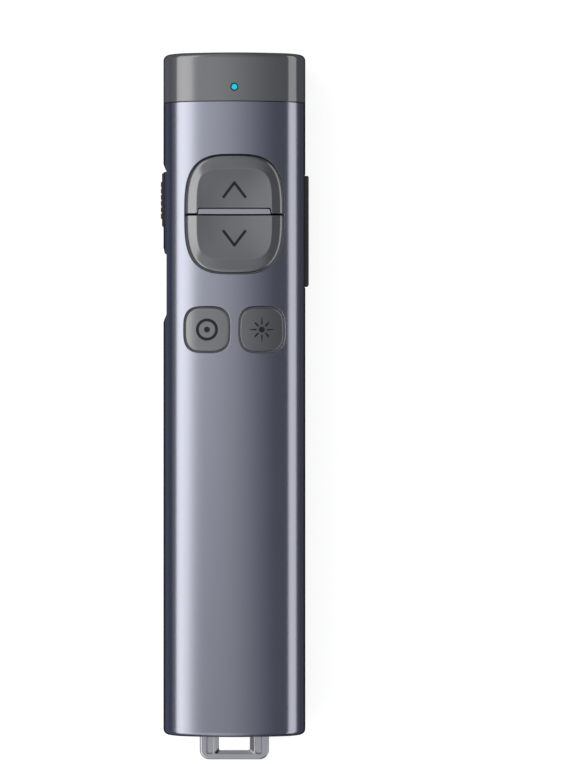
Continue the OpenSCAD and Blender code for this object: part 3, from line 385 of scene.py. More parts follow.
def rim_rows(skin, loop, into, radius, steps=3):
    """Rows of a rounded edge along a loop of the domain: into points to the material, radius is per point."""
    radius = np.broadcast_to(np.array(radius, float), (len(loop),))
    rows = []
    for k in range(steps + 1):
        a = math.pi / 2 * k / steps
        ring = loop + into * (radius * (1 - math.sin(a)))[:, None]
        points, normals = [], []
        for p, m, r in zip(ring, into, radius):
            tu, tv, n = skin.frame(*p)
            out = -unit(m)
            points.append(skin.place(p[0], p[1], r * (1 - math.cos(a))))
            normals.append(math.cos(a) * n + math.sin(a) * (out[0] * tu + out[1] * tv))
        rows.append((points, normals))
    return rows, loop + into * radius[:, None]


def edge_loop(u0, u1, v0, v1, us, vs, r_u, r_low, r_high):
    """The outer loop of a domain, with directions into the material and radii."""
    pts, into, radius = [], [], []

    def add(u, v, du, dv, r):
        pts.append((u, v)), into.append((du, dv)), radius.append(r)

    corner_low, corner_high = (1 if r_low else 0), (1 if r_high else 0)
    add(u0, v0, 1, corner_low, r_u)
    for u in us:
        add(u, v0, 0, 1, r_low)
    add(u1, v0, -1, corner_low, r_u)
    for v in vs:
        add(u1, v, -1, 0, r_u)
    add(u1, v1, -1, -corner_high, r_u)
    for u in us[::-1]:
        add(u, v1, 0, -1, r_high)
    add(u0, v1, 1, -corner_high, r_u)
    for v in vs[::-1]:
        add(u0, v, 1, 0, r_u)
    return np.array(pts), np.array(into, float), np.array(radius, float)


def columns(u_end):
    """Values of u across half the section, closer together where it bends more."""
    stops = [(0, arc1, 1.35), (arc1, arc2, 0.36), (arc2, arc3, 0.8), (arc3, arc4, 0.4), (arc4, arc5, 1.5)]
    out = []
    for a, b, step in stops:
        if a < u_end:
            out += list(spread(a, min(b, u_end), step))[:-1]
    out = [u for u in out if u < u_end - 0.15]
    return [-u for u in out[::-1] if u > 0] + out


def end_rows(skin, y0, y1, step=2.6, bend=5):
    """Values of v along the casing, with rows for the rounded ends."""
    low, high = y0, y1
    rows = []
    if skin.low is not None:
        low = skin.low + end_round
        rows += [low - end_round * math.pi / 2 * k / bend for k in range(bend, 0, -1)]
    if skin.high is not None:
        high = skin.high - end_round
    rows += list(spread(low, high, step))
    if skin.high is not None:
        rows += [high + end_round * math.pi / 2 * k / bend for k in range(1, bend + 1)]
    return rows


def shell(build, skin, u_end, v0, v1, r_low, r_high, holes, lines=(), extra=(), near_holes=(), depth=wall):
    """A wall of that depth over part of the section. A hole is (loop, kind): cut straight along Z ('z') or X ('x')."""
    us = columns(u_end)
    vs = end_rows(skin, v0, v1, 1.4)
    body = [v for v in vs if v0 + 0.3 < v < v1 - 0.3 or (skin.low is not None and v < v0 + 1.2 and v > v0 + 1e-6)
            or (skin.high is not None and v > v1 - 1.2 and v < v1 - 1e-6)]
    vs_edge = sorted(set([round(v, 6) for v in body] + [round(e, 6) for e in extra]))
    loop, into, radius = edge_loop(-u_end, u_end, v0, v1, us, vs_edge, edge_round, r_low, r_high)
    rows, top_loop = rim_rows(skin, loop, into, radius)
    build.strip(rows)
    last = rows[-1]
    inner = [skin.inner(u, v, depth) for u, v in loop]
    hint = [n + skin.normal(*p) for n, p in zip(last[1], loop)]
    build.strip([(last[0], hint), (inner, hint)], flat=True)
    outer_loops, inner_loops = [top_loop], [loop]
    for cut, kind in holes:
        uv = np.array([(u_of_x(a) if kind == "z" else (u_of_z(a) if kind == "x" else -u_of_z(a)), b) for a, b in cut])
        if kind == "-x":
            uv = uv[::-1]
        elif kind == "x":
            uv = uv[::-1]
        m = -inward(uv)
        rows, ring = rim_rows(skin, uv, m, key_round)
        build.strip(rows)
        last = rows[-1]
        axis = 0 if kind == "z" else 2
        level = np.array([((u_of_x(p[0], depth) if kind == "z" else (1 if kind == "x" else -1) * u_of_z(p[2], depth)), v[1])
                          for p, v in zip(last[0], uv)])
        inner = [skin.inner(u, v, depth) for u, v in level]
        build.strip([last, (inner, last[1])], flat=True)
        outer_loops.append(ring)
        inner_loops.append(level)
    grid = [(u, v) for u in us for v in body]
    build.cap(outer_loops, skin.place, skin.normal, grid + list(near_holes), lines, near=0.25)
    build.cap(inner_loops, lambda u, v: skin.inner(u, v, depth), skin.inner_normal, grid)


def xy(u, v, w):
    return (u, v, w)


# ---------------------------------------------------------------- front half of the casing
def casing_front():
    build = Build()
    skin = Skin(low=end_y, recess=True)
    u_end = u_of_z(split_z + seam)
    skin_u = u_end - edge_round
    reach = abs(section(skin_u)[0])
    y_cross = [recess_y0 - ramp_l * (reach - floor_x) / recess_d, recess_y1 + ramp_l * (reach - floor_x) / recess_d]
    lines = []
    ys = list(spread(recess_y0 - ramp_l, recess_y0, 0.4)) + list(spread(recess_y0, recess_y1, 2.0))[1:] \
        + list(spread(recess_y1, recess_y1 + ramp_l, 0.4))[1:]
    lines.append([(-u_of_x(recess_limit(y)) if recess_limit(y) < body_w / 2 else -arc2, y) for y in ys])
    for outer, sign in ((recess_y0 - ramp_l, -1), (recess_y1 + ramp_l, 1)):
        lines.append([(-arc2, outer), (-arc3, outer)])
        cross = y_cross[0] if sign < 0 else y_cross[1]
        run = spread(outer, cross, 0.35)
        lower = [(-(arc3 + back_r * math.acos(min(1, (recess_limit(y) - back_cx) / back_r))), y) for y in run]
        lower[-1] = (-skin_u, cross)
        lines.append(lower)
        flat_y = recess_y0 if sign < 0 else recess_y1
        lines.append([(-u_of_x(floor_x), flat_y), (-arc2, flat_y), (-arc3, flat_y), (-skin_u, flat_y)])
    holes = [(super_loop(page_w / 2 + key_gap, page_l / 2 + key_gap, y=page_y), "z")]
    for side in (-1, 1):
        holes.append((super_loop(small_w / 2 + key_gap, small_w / 2 + key_gap, x=side * small_pitch / 2, y=small_y), "z"))
    near_holes = []
    for grow, step in ((0.35, 0.45), (0.8, 0.7), (1.4, 1.0)):
        ring = [super_loop(page_w / 2 + key_gap + grow, page_l / 2 + key_gap + grow, step, y=page_y)]
        ring += [super_loop(small_w / 2 + key_gap + grow, small_w / 2 + key_gap + grow, step, side * small_pitch / 2, small_y)
                 for side in (-1, 1)]
        near_holes += [(u_of_x(x), y) for part in ring for x, y in part]
    rz = board_z + 0.5 - 0.3
    holes.append((round_rect(rz - rocker_h / 2 - 0.12, rz + rocker_h / 2 + 0.12, rocker_y - rocker_l / 2 - 0.25,
                             rocker_y + rocker_l / 2 + 0.25, 0.35, 0.5), "x"))
    holes.append((round_rect(side_z - 1.15, side_z + 1.15, slider_y - slider_travel - 2.1, slider_y + 2.1, 0.3, 0.5), "-x"))
    shell(build, skin, u_end, skin.v_low, nose_y, 0.0, edge_round, holes, lines,
          extra=[y_cross[0], recess_y0, recess_y1, y_cross[1]], near_holes=near_holes)
    # Posts for the board screws and ears for the rocker's pin.
    post_x = 23.8 / 2 - 1.7 - 0.5
    board_y1 = plug_y - 0.4
    for y in (board_y1 - 57.6 + 2.4, board_y1 - 2.2):
        for side in (-1, 1):
            tube(build, circle(1.7, side * post_x, y, 32), circle(0.75, side * post_x, y, 32)[::-1], board_top,
                 outside_z(post_x) - wall + 0.2)
    pin_x = body_w / 2 - pin_depth
    for z in (rz - rocker_h / 2 - 0.8, rz + rocker_h / 2 + 0.1):
        build.prism(round_rect(pin_x - 1.1, body_w / 2 - wall + 0.1, rocker_y - 1.6, rocker_y + 1.6, 0.2), xy, z, z + 0.7, 0.05)
    return build.object("casing_front")


def tube(build, outer, inner, z0, z1):
    """A closed upright tube between two loops."""
    n_out = [np.array((*-unit(m), 0)) for m in inward(outer)]
    n_in = [-n for n in n_out]
    inner = inner[::-1]
    for loop, n in ((outer, n_out), (inner, n_in)):
        build.strip([([(*p, z0) for p in loop], n), ([(*p, z1) for p in loop], n)])
    for z, n in ((z0, (0, 0, -1)), (z1, (0, 0, 1))):
        nn = [np.array(n)] * len(outer)
        build.strip([([(*p, z) for p in outer], nn), ([(*p, z) for p in inner], nn)])


# ---------------------------------------------------------------- back half, with its lip and ribs
def casing_back():
    build = Build()
    skin = BackSkin(low=end_y)
    u_end = arc5 - u_of_z(split_z)
    shell_back(build, skin, u_end)
    cap_in = end_y + 5.0
    for side in (-1, 1):
        profile = [(side * a, b) for a, b in lip_profile()]
        loft_y(build, profile, cap_in + 0.3, plug_y - 0.3)
    for y in (battery_y0() - 1.4, battery_y0() + 44 + 0.4):
        build.prism(round_rect(-8.5, 8.5, y, y + 1.0, 0.2), xy, wall - 0.2, wall + 1.4, 0.08)
    charge_y0 = end_y + 1.15
    for y in (charge_y0 + 1, charge_y0 + 16 - 2.5):
        build.prism(round_rect(-7, 7, y, y + 1.5, 0.2), xy, wall - 0.2, wall + 0.6, 0.05)
    return build.object("casing_back")


def battery_y0():
    return end_y + 0.15 + 1 + 16 + 4.5


def lip_profile():
    """Cross-section of the lip on one side, that stands inside the front half."""
    out_low, out_high = [], []
    for z in np.linspace(split_z - 1.0, split_z + 1.3, 7):
        d_out = wall - 0.2 if z < split_z else wall + fit_gap
        x = back_cx + math.sqrt(max(0, (back_r - d_out) ** 2 - (back_r - z) ** 2))
        x_in = back_cx + math.sqrt(max(0, (back_r - wall - fit_gap - 0.8) ** 2 - (back_r - z) ** 2))
        out_low.append((x, z)), out_high.append((x_in, z))
    return out_low + out_high[::-1]


def loft_y(build, profile, y0, y1):
    loop = np.array(profile)
    area = sum(a[0] * b[1] - b[0] * a[1] for a, b in zip(loop, np.roll(loop, -1, axis=0)))
    if area < 0:
        loop = loop[::-1]
    out = [np.array((-unit(m)[0], 0, -unit(m)[1])) for m in inward(loop)]
    rows = [([(p[0], y, p[1]) for p in loop], out) for y in spread(y0, y1, 8)]
    build.strip(rows, flat=True)
    for y, n in ((y0, (0, -1, 0)), (y1, (0, 1, 0))):
        build.cap([loop], lambda u, v, y=y: (u, y, v), lambda *a, n=n: np.array(n, float))


class BackSkin(Skin):
    """The same surface with u measured from the middle of the flat back."""

    @staticmethod
    def turn(u):
        return (arc5 - u) if u >= 0 else -(arc5 + u)

    def place(self, u, v, depth=0.0):
        return Skin.place(self, self.turn(u), v, depth)

    def normal(self, u, v, mu=None, mv=None):
        return Skin.normal(self, self.turn(u), v)

    def frame(self, u, v):
        tu, tv, n = Skin.frame(self, self.turn(u), v)
        return -tu, tv, n

    def inner(self, u, v, depth, y_max=None):
        return Skin.inner(self, self.turn(u), v, depth, y_max)

    def inner_normal(self, u, v, mu=None, mv=None):
        return Skin.inner_normal(self, self.turn(u), v)


def shell_back(build, skin, u_end):
    us = [u for u in ([-x for x in list(spread(back_cx, u_end, 0.4))[1:-1]][::-1] + list(spread(-back_cx, back_cx, 1.5))
                      + list(spread(back_cx, u_end, 0.4))[1:-1])]
    vs = end_rows(skin, skin.v_low, nose_y)
    body = [v for v in vs if skin.v_low + 1e-6 < v < nose_y - 0.3]
    loop, into, radius = edge_loop(-u_end, u_end, skin.v_low, nose_y, us, body, edge_round, 0.0, edge_round)
    rows, top_loop = rim_rows(skin, loop, into, radius)
    build.strip(rows)
    last = rows[-1]
    inner = [skin.inner(u, v, wall) for u, v in loop]
    hint = [n + skin.normal(*p) for n, p in zip(last[1], loop)]
    build.strip([(last[0], hint), (inner, hint)], flat=True)
    grid = [(u, v) for u in us for v in body]
    build.cap([top_loop], skin.place, skin.normal, grid)
    build.cap([loop], lambda u, v: skin.inner(u, v, wall), skin.inner_normal, grid)


# ---------------------------------------------------------------- nose cap
def nose():
    build = Build()
    skin = Skin(high=top_y)
    depth = wall + nose_lining
    v0, v1 = nose_y + seam, skin.v_high
    us = columns(arc5)
    us = sorted(set([round(u, 6) for u in us] + [-arc5, arc5]))
    vs = end_rows(skin, v0, v1, 1.1)
    ring_at = lambda v: [skin.place(u, v) for u in us]
    # Back edge: a small round, then the step to the tongue that goes into the casing.
    rows = []
    for k in range(4):
        a = math.pi / 2 * k / 3
        v = v0 + edge_round * (1 - math.sin(a))
        d = edge_round * (1 - math.cos(a))
        n = [math.cos(a) * skin.normal(u, v) + math.sin(a) * np.array((0, -1, 0)) for u in us]
        rows.append(([skin.place(u, v, d) for u in us], n))
    build.strip(rows, closed=False)
    back = [np.array((0.0, -1, 0))] * len(us)
    tongue = wall + fit_gap
    at_depth = lambda d, y: [(section(u)[0] - section(u)[2] * d, y, section(u)[1] - section(u)[3] * d) for u in us]
    side = [np.array((section(u)[2], 0, section(u)[3])) for u in us]
    build.strip([(rows[-1][0], back), (at_depth(tongue, v0), back)], closed=False, flat=True)
    build.strip([(at_depth(tongue, v0), side), (at_depth(tongue, plug_y), side)], closed=False)
    build.strip([(at_depth(tongue, plug_y), back), (at_depth(depth, plug_y), back)], closed=False, flat=True)
    # Outer skin with the hole for the status light.
    hole = circle(light_rim_d / 2 + 0.02, 0, light_y, 40)
    uv = np.array([(u_of_x(a), b) for a, b in hole])
    m = -inward(uv)
    hole_rows, ring = rim_rows(skin, uv, m, 0.06)
    build.strip(hole_rows)
    start = v0 + edge_round
    outer = [(u, start) for u in us] + [(arc5, v) for v in vs if v > start + 0.2][:-1] \
        + [(u, v1) for u in us[::-1]] + [(-arc5, v) for v in vs[::-1] if v > start + 0.2][1:]
    grid = [(u, v) for u in us[1:-1] for v in vs if start + 0.2 < v < v1 - 1e-6]
    build.cap([np.array(outer), ring], skin.place, skin.normal, grid, near=0.12)
    # Inside, up to the inner end face.
    in_y = top_y - nose_wall
    ys = list(spread(plug_y, in_y, 2.5))
    inner = [(u, ys[0]) for u in us] + [(arc5, y) for y in ys[1:-1]] + [(u, ys[-1]) for u in us[::-1]] \
        + [(-arc5, y) for y in ys[1:-1][::-1]]
    deep = np.array([(u_of_x(p[0], depth), v[1]) for p, v in zip(hole_rows[-1][0], uv)])
    deep_at = lambda u, v: (section(u)[0] - section(u)[2] * depth, v, section(u)[1] - section(u)[3] * depth)
    build.strip([hole_rows[-1], ([deep_at(*p) for p in deep], hole_rows[-1][1])], flat=True)
    build.cap([np.array(inner), deep], deep_at, lambda u, v, *a: -np.array((section(u)[2], 0, section(u)[3])),
              [(u, y) for u in us[1:-1] for y in ys[1:-1]])
    # End face with the window's seat and the hole for the beam.
    rim = [(p[0], p[2]) for p in [skin.place(u, v1) for u in us[:-1]]]
    seat_y, count = top_y - window_t - 0.1, 64
    wide, narrow = circle(window_d / 2 + 0.05, 0, laser_z, count), circle(beam_d / 2, 0, laser_z, count)
    out = [np.array((-(p[0]), 0, -(p[1] - laser_z))) / 2.5 for p in wide]
    rows = []
    for k in range(4):
        a = math.pi / 2 * k / 3
        r = window_d / 2 + 0.05 + 0.2 * (1 - math.sin(a))
        y = top_y - 0.2 * (1 - math.cos(a))
        rows.append(([(p[0], y, p[1]) for p in circle(r, 0, laser_z, count)],
                     [math.cos(a) * np.array((0, 1, 0)) + math.sin(a) * unit(o) for o in out]))
    build.strip(rows)
    build.strip([(rows[-1][0], out), ([(p[0], seat_y, p[1]) for p in wide], out)])
    up = [np.array((0.0, 1, 0))] * count
    build.strip([([(p[0], seat_y, p[1]) for p in wide], up), ([(p[0], seat_y, p[1]) for p in narrow], up)])
    build.strip([([(p[0], seat_y, p[1]) for p in narrow], out), ([(p[0], in_y, p[1]) for p in narrow], out)])
    build.cap([np.array(rim), np.array([(p[0], p[2]) for p in rows[0][0]])], lambda u, v: (u, top_y, v),
              lambda *a: np.array((0.0, 1, 0)), [(x, z) for x in range(-12, 13, 3) for z in range(2, 16, 3)])
    deep_rim = [(p[0], p[2]) for p in [deep_at(u, in_y) for u in us[:-1]]]
    build.cap([np.array(deep_rim), narrow], lambda u, v: (u, in_y, v), lambda *a: np.array((0.0, -1, 0)))
    # Sleeve round the laser module.
    r_out, r_in = barrel_d / 2 + sleeve_wall + 0.05, barrel_d / 2 + 0.05
    a_out = [unit((p[0], 0, p[1])) for p in circle(1, count=count)]
    y0, y1 = plug_y + 1, in_y + 0.1
    for r, sign in ((r_out, 1), (r_in, -1)):
        pts = circle(r, 0, laser_z, count)
        build.strip([([(p[0], y, p[1]) for p in pts], [sign * n for n in a_out]) for y in (y0, y1)])
    for y, n in ((y0, (0.0, -1, 0)), (y1, (0.0, 1, 0))):
        nn = [np.array(n)] * count
        build.strip([([(p[0], y, p[1]) for p in circle(r, 0, laser_z, count)], nn) for r in (r_out, r_in)])
    return build.object("nose")


# ---------------------------------------------------------------- keys
def key_outline(part):
    """Half width, half length and power of an outline between the page keys' edge (0) and their dish (1)."""
    edge, dish = (page_w / 2, page_l / 2, key_power), (dish_w / 2, dish_l / 2, dish_power)
    return tuple(e + (d - e) * part for e, d in zip(edge, dish))


def reach(x, y, a, b, power):
    """How far out a point lies: 1 on the outline."""
    return ((abs(x) / a) ** power + (abs(y) / b) ** power) ** (1 / power)


def page_height(x, y):
    """Height of the page keys' face: a dish, a raised rim and the fall to its outer edge. y is from their middle."""
    s = reach(x, y, *key_outline(1))
    if s <= 1:
        # The middle is the dish that the symbols are inlaid in, and its edge is squarer.
        t = min(1, max(0, (s - 0.72) / 0.28))
        plain = reach(x, y, page_w / 2 - rim_w, page_l / 2 - rim_w, key_power)
        s = plain + (s - plain) * t * t * (3 - 2 * t)
        return dish_z + dish_depth * s * s
    low, high = 0.0, 1.0
    for _ in range(30):
        part = (low + high) / 2
        if reach(x, y, *key_outline(part)) > 1:
            high = part
        else:
            low = part
    part = (low + high) / 2
    drop = rim_z - rim_lift - outside_z(page_w / 2 * min(1, abs(x) / key_outline(part)[0]))
    out = 1 - part
    return rim_z - drop / (1 + drop / 2) * (0.8 * out + 0.2 * max(0, out / 0.25 - 3) ** 2)


def slope_normal(height, x, y, step=0.01):
    dx = (height(x + step, y) - height(x - step, y)) / (2 * step)
    dy = (height(x, y + step) - height(x, y - step)) / (2 * step)
    return unit((-dx, -dy, 1))


def page_key(name, side):
    """One half of the page keys: a dished block, its flange and its stem."""
    build = Build()
    y_cut = (split_y + side * split_gap / 2) - page_y
    grow = 0.0015
    full = super_loop(page_w / 2 - grow, page_l / 2 - grow, 0.3)
    keep = [tuple(p) for p in full if side * (p[1] - y_cut) > 0.12]
    x_cut = max(p[0] for p in keep if abs(p[1] - y_cut) < 3)
    ang = [math.atan2(p[1] - y_cut, p[0]) % (2 * math.pi) for p in keep]
    arc = [p for _, p in sorted(zip(ang, keep))] if side > 0 else \
        [p for _, p in sorted(zip([(a - math.pi) % (2 * math.pi) for a in ang], keep))]
    start, stop = (arc[-1], arc[0])
    # Straight cut with the notch for the divider in the upper key.
    cut = [(-side * x_cut, y_cut)]
    if side > 0:
        foot = bar_w / 2 + bar_gap
        head = foot - bar_taper
        deep = bar_y + bar_l + bar_gap - page_y
        level, r = bar_y - bar_gap - page_y + 0.12, bar_corner
        corners = [(-foot, y_cut), (-foot, level), (-head, deep - r), (-head + r * 0.3, deep - r * 0.3), (r - head, deep),
                   (head - r, deep), (head - r * 0.3, deep - r * 0.3), (head, deep - r), (foot, level), (foot, y_cut)]
        cut += corners
    cut.append((side * x_cut, y_cut))
    loop = []
    for p, q in zip(cut, cut[1:]):
        n = max(1, int(math.dist(p, q) / 0.5))
        loop += [(p[0] + (q[0] - p[0]) * k / n, p[1] + (q[1] - p[1]) * k / n) for k in range(n)]
    loop.append(cut[-1])
    loop = np.array(loop + [tuple(p) for p in arc])
    m = inward(loop)
    m = np.array([v / max(1, np.linalg.norm(v) / 1.3) for v in m])
    flange_top = 13.4
    rows, top_edge = [], None
    r = np.full(len(loop), 0.13)
    for k in range(4):
        a = math.pi / 2 * k / 3
        ring = loop + m * (r * (1 - math.sin(a)))[:, None]
        points = [(p[0], p[1] + page_y, page_height(*base) - rr * (1 - math.cos(a)))
                  for p, base, rr in zip(ring, loop + m * r[:, None], r)]
        normals = [math.cos(a) * slope_normal(page_height, *base) + math.sin(a) * np.array((*-unit(v), 0))
                   for base, v in zip(loop + m * r[:, None], m)]
        rows.append((points, normals))
    top_edge = loop + m * r[:, None]
    build.strip(rows)
    out = [np.array((*-unit(v), 0)) for v in m]
    foot_z = flange_top - 0.3
    build.strip([(rows[-1][0], out), ([(p[0], p[1] + page_y, foot_z) for p in loop], out)])
    rings = []
    for part in (0.13, 0.19, 0.25, 0.38, 0.52, 0.66, 0.8, 0.92, 0.97, 1.0, 1.03, 1.12):
        a, b, power = key_outline(part)
        rings += [tuple(p) for p in super_loop(a, b, 0.42, power=power)]
    for scale in np.linspace(0.05, 0.93, 15):
        rings += [tuple(p) for p in super_loop(dish_w / 2 * scale, dish_l / 2 * scale, 0.7, power=dish_power)]
    build.cap([top_edge], lambda u, v: (u, v + page_y, page_height(u, v)),
              lambda u, v, *a: slope_normal(page_height, u, v), rings, near=0.14)
    down = np.array((0.0, 0, -1))
    build.cap([loop], lambda u, v: (u, v + page_y, foot_z), lambda *a: down)
    # Flange and stem.
    wide = super_loop(page_w / 2 + flange_w, page_l / 2 + flange_w, 0.8)
    half = [tuple(p) for p in wide if side * (p[1] - y_cut) > 0.05]
    ang = [math.atan2(p[1] - y_cut, p[0]) % (2 * math.pi) for p in half]
    if side < 0:
        ang = [(a - math.pi) % (2 * math.pi) for a in ang]
    half = [p for _, p in sorted(zip(ang, half))]
    xe = page_w / 2 + flange_w
    if side > 0:
        notch = [(-foot, y_cut), (-foot, deep), (foot, deep), (foot, y_cut)]
        outline = [(-xe, y_cut)] + notch + [(xe, y_cut)] + half
    else:
        outline = [(xe, y_cut), (-xe, y_cut)] + half
    flange_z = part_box(name_to_node[name])[0].z / MM
    flange_low = 12.70
    build.prism(np.array(outline) + [0, page_y], xy, flange_low, flange_low + flange_t, 0.04)
    build.prism(circle(stem_d / 2, 0, page_y + side * 6.4, 32), xy, plunger_top + clear, flange_low + 0.05, 0.05)
    return build.object(name)


def small_key(name, side):
    build = Build()
    x0 = side * small_pitch / 2
    top = lambda x: crown_z + math.sqrt((crown_r + small_rise) ** 2 - x * x)
    nrm = lambda x: unit((x, 0, top(x) - crown_z))
    loop = super_loop(small_w / 2, small_w / 2, 0.25)
    m = inward(loop)
    r = 0.22
    rows = []
    for k in range(5):
        a = math.pi / 2 * k / 4
        ring = loop + m * r * (1 - math.sin(a))
        base = loop + m * r
        rows.append(([(p[0] + x0, p[1] + small_y, top(b[0] + x0) - r * (1 - math.cos(a))) for p, b in zip(ring, base)],
                     [math.cos(a) * nrm(b[0] + x0) + math.sin(a) * np.array((*-unit(v), 0)) for b, v in zip(base, m)]))
    build.strip(rows)
    out = [np.array((*-unit(v), 0)) for v in m]
    low = 12.75
    build.strip([(rows[-1][0], out), ([(p[0] + x0, p[1] + small_y, low) for p in loop], out)])
    grid = [(x, y) for x in np.arange(-4.2, 4.3, 0.7) for y in np.arange(-4.2, 4.3, 0.7)]
    build.cap([loop + m * r], lambda u, v: (u + x0, v + small_y, top(u + x0)), lambda u, v, *a: nrm(u + x0), grid)
    build.cap([loop], lambda u, v: (u + x0, v + small_y, low), lambda *a: np.array((0.0, 0, -1)))
    wide = super_loop(small_w / 2 + flange_w, small_w / 2 + flange_w, 0.6, x0, small_y)
    build.prism(wide, xy, 12.70, 12.70 + flange_t, 0.04)
    build.prism(circle(stem_d / 2, x0, small_y, 32), xy, plunger_top + clear, 12.75, 0.05)
    return build.object(name)


def divider():
    foot, corner = bar_w / 2, bar_corner
    head = foot - bar_taper
    pts = [(-foot, 0), (foot, 0), (head, bar_l - corner), (head - corner * 0.3, bar_l - corner * 0.3),
           (head - corner, bar_l), (corner - head, bar_l), (corner * 0.3 - head, bar_l - corner * 0.3), (-head, bar_l - corner)]
    loop = []
    for p, q in zip(pts, pts[1:] + pts[:1]):
        n = max(1, int(math.dist(p, q) / 0.6))
        loop += [(p[0] + (q[0] - p[0]) * k / n, p[1] + (q[1] - p[1]) * k / n + bar_y) for k in range(n)]
    build = Build()
    build.prism(loop, xy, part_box("key_divider")[0].z / MM, bar_top, 0.14)
    return build.object("divider")


# ---------------------------------------------------------------- side pieces
def slider_plate():
    """The slider's plate completes the casing's curved side where the recess is cut out of it."""
    build = Build()
    y_low, y_high = slider_y - slider_l / 2, slider_y + slider_l / 2
    z_low = side_z - slider_h / 2
    z_high = front_cz + math.sqrt(front_r ** 2 - (plate_in - front_cx) ** 2)
    edge = 0.1
    us = spread(u_of_z(z_high), arc3 + back_r * math.asin((back_r - z_low - edge) / back_r), 0.3)
    foot = np.array((section(us[-1])[2], 0, section(us[-1])[3]))

    def row(y, inset, tilt):
        """Points and normals down the outer face at y, sunk by the inset and turned towards an end by the tilt."""
        limit = body_w / 2 - 0.3 * max(0, 1 - (y - y_low) / 1.2)
        points, normals = [], []
        for u in us:
            x, z, nx, nz = section(u)
            n = np.array((nx, 0, nz))
            if x > limit:
                x, n = limit, unit((1, -0.25, 0))
            points.append((max(plate_in, x - nx * inset), y, z - nz * inset))
            normals.append(unit((n[0] * math.cos(tilt), n[1] * math.cos(tilt) + math.sin(tilt), n[2] * math.cos(tilt))))
        x = points[-1][0]
        for a in (30, 60, 90):
            turn = math.radians(a)
            n = math.cos(turn) * foot + math.sin(turn) * np.array((0, 0, -1))
            points.append((x - edge * (1 - math.cos(turn)), y, z_low + inset + edge * (1 - math.sin(turn))))
            normals.append(unit((n[0] * math.cos(tilt), math.sin(tilt), n[2] * math.cos(tilt))))
        return [(-a, b, c) for a, b, c in points], [np.array((-a, b, c)) for a, b, c in normals]

    turns = [math.pi / 2 * k / 3 for k in range(4)]
    rows = [row(y_low + edge * (1 - math.sin(a)), edge * (1 - math.cos(a)), -a) for a in turns[::-1]]
    rows += [row(y, 0, 0) for y in list(spread(y_low + edge, y_low + 1.2, 0.3))[1:] + list(spread(y_low + 1.2, y_high - edge, 1.2))[1:-1]]
    rows += [row(y_high - edge * (1 - math.sin(a)), edge * (1 - math.cos(a)), a) for a in turns]
    build.strip(rows, closed=False)
    inner, under = np.array((1.0, 0, 0)), np.array((0.0, 0, -1))
    for (pa, _), (pb, _) in zip(rows, rows[1:]):
        low_a, low_b = (-plate_in, pa[-1][1], pa[-1][2]), (-plate_in, pb[-1][1], pb[-1][2])
        build.face([pa[-1], pb[-1], low_b, low_a], [under] * 4)
        build.face([pa[0], pb[0], low_b, low_a], [inner] * 4)
    for (points, _), way in ((rows[0], -1), (rows[-1], 1)):
        outline = [(a, c) for a, b, c in points] + [(-plate_in, points[-1][2])]
        y = points[0][1]
        build.cap([np.array(outline)], lambda u, v, y=y: (u, y, v), lambda *a, way=way: np.array((0.0, way, 0)))
    build.prism(round_rect(slider_y - 2, slider_y + 2, side_z - 1.1, side_z + 1.1, 0.2), lambda u, v, w: (w, u, v),
                -plate_in - 0.1, -(body_w / 2 - wall - 0.05), 0.03)
    return build.object("slider_plate")


def slider_grip():
    """The slider's black grip, with its row of round ribs, lofted along Y."""
    build = Build()
    face, rise, rib_rise, pitch, edge = body_w / 2, 0.3, 0.25, 1.32, 0.12
    y_high = slider_y + slider_l / 2 - 0.25
    y_low = y_high - 11.0
    first = y_high - 2.3
    half = slider_h / 2 - 0.3

    def height(y):
        near = min(y - y_low, y_high - y)
        end = edge * (1 - math.sqrt(max(0, 1 - (1 - near / edge) ** 2))) if near < edge else 0
        rib = 0.0
        for i in range(6):
            d = abs(y - (first - i * pitch))
            if d < 2 * rib_rise:
                rib = max(rib, min(rib_rise, math.sqrt(4 * rib_rise ** 2 - d * d)))
        return face + rise - end + rib

    ys = sorted(set(spread(y_low, y_low + edge, 0.03)) | set(spread(y_low + edge, y_high - edge, 0.05))
                | set(spread(y_high - edge, y_high, 0.03)))
    rows = []
    for y in ys:
        h = height(y)
        slope = (height(min(y_high, y + 0.01)) - height(max(y_low, y - 0.01))) / 0.02
        outward = unit((-1, -slope, 0))
        points, normals = [(-(face - 0.2), y, side_z + half)], [np.array((0.0, 0, 1))]
        for a in np.linspace(0, math.pi / 2, 5):
            points.append((-(h - edge + edge * math.sin(a)), y, side_z + half - edge + edge * math.cos(a)))
            normals.append(math.sin(a) * outward + math.cos(a) * np.array((0, 0, 1)))
        points += [(a, b, 2 * side_z - c) for a, b, c in points[::-1]]
        normals += [n * (1, 1, -1) for n in normals[::-1]]
        rows.append((points, normals))
    build.strip(rows, closed=False)
    for (pa, _), (pb, _) in zip(rows, rows[1:]):
        build.face([pa[0], pb[0], pb[-1], pa[-1]], [np.array((1.0, 0, 0))] * 4)
    for (points, _), way in ((rows[0], -1.0), (rows[-1], 1.0)):
        build.face(points, [np.array((0, way, 0))] * len(points), flat=True)
    return build.object("slider_grip_ribbed")


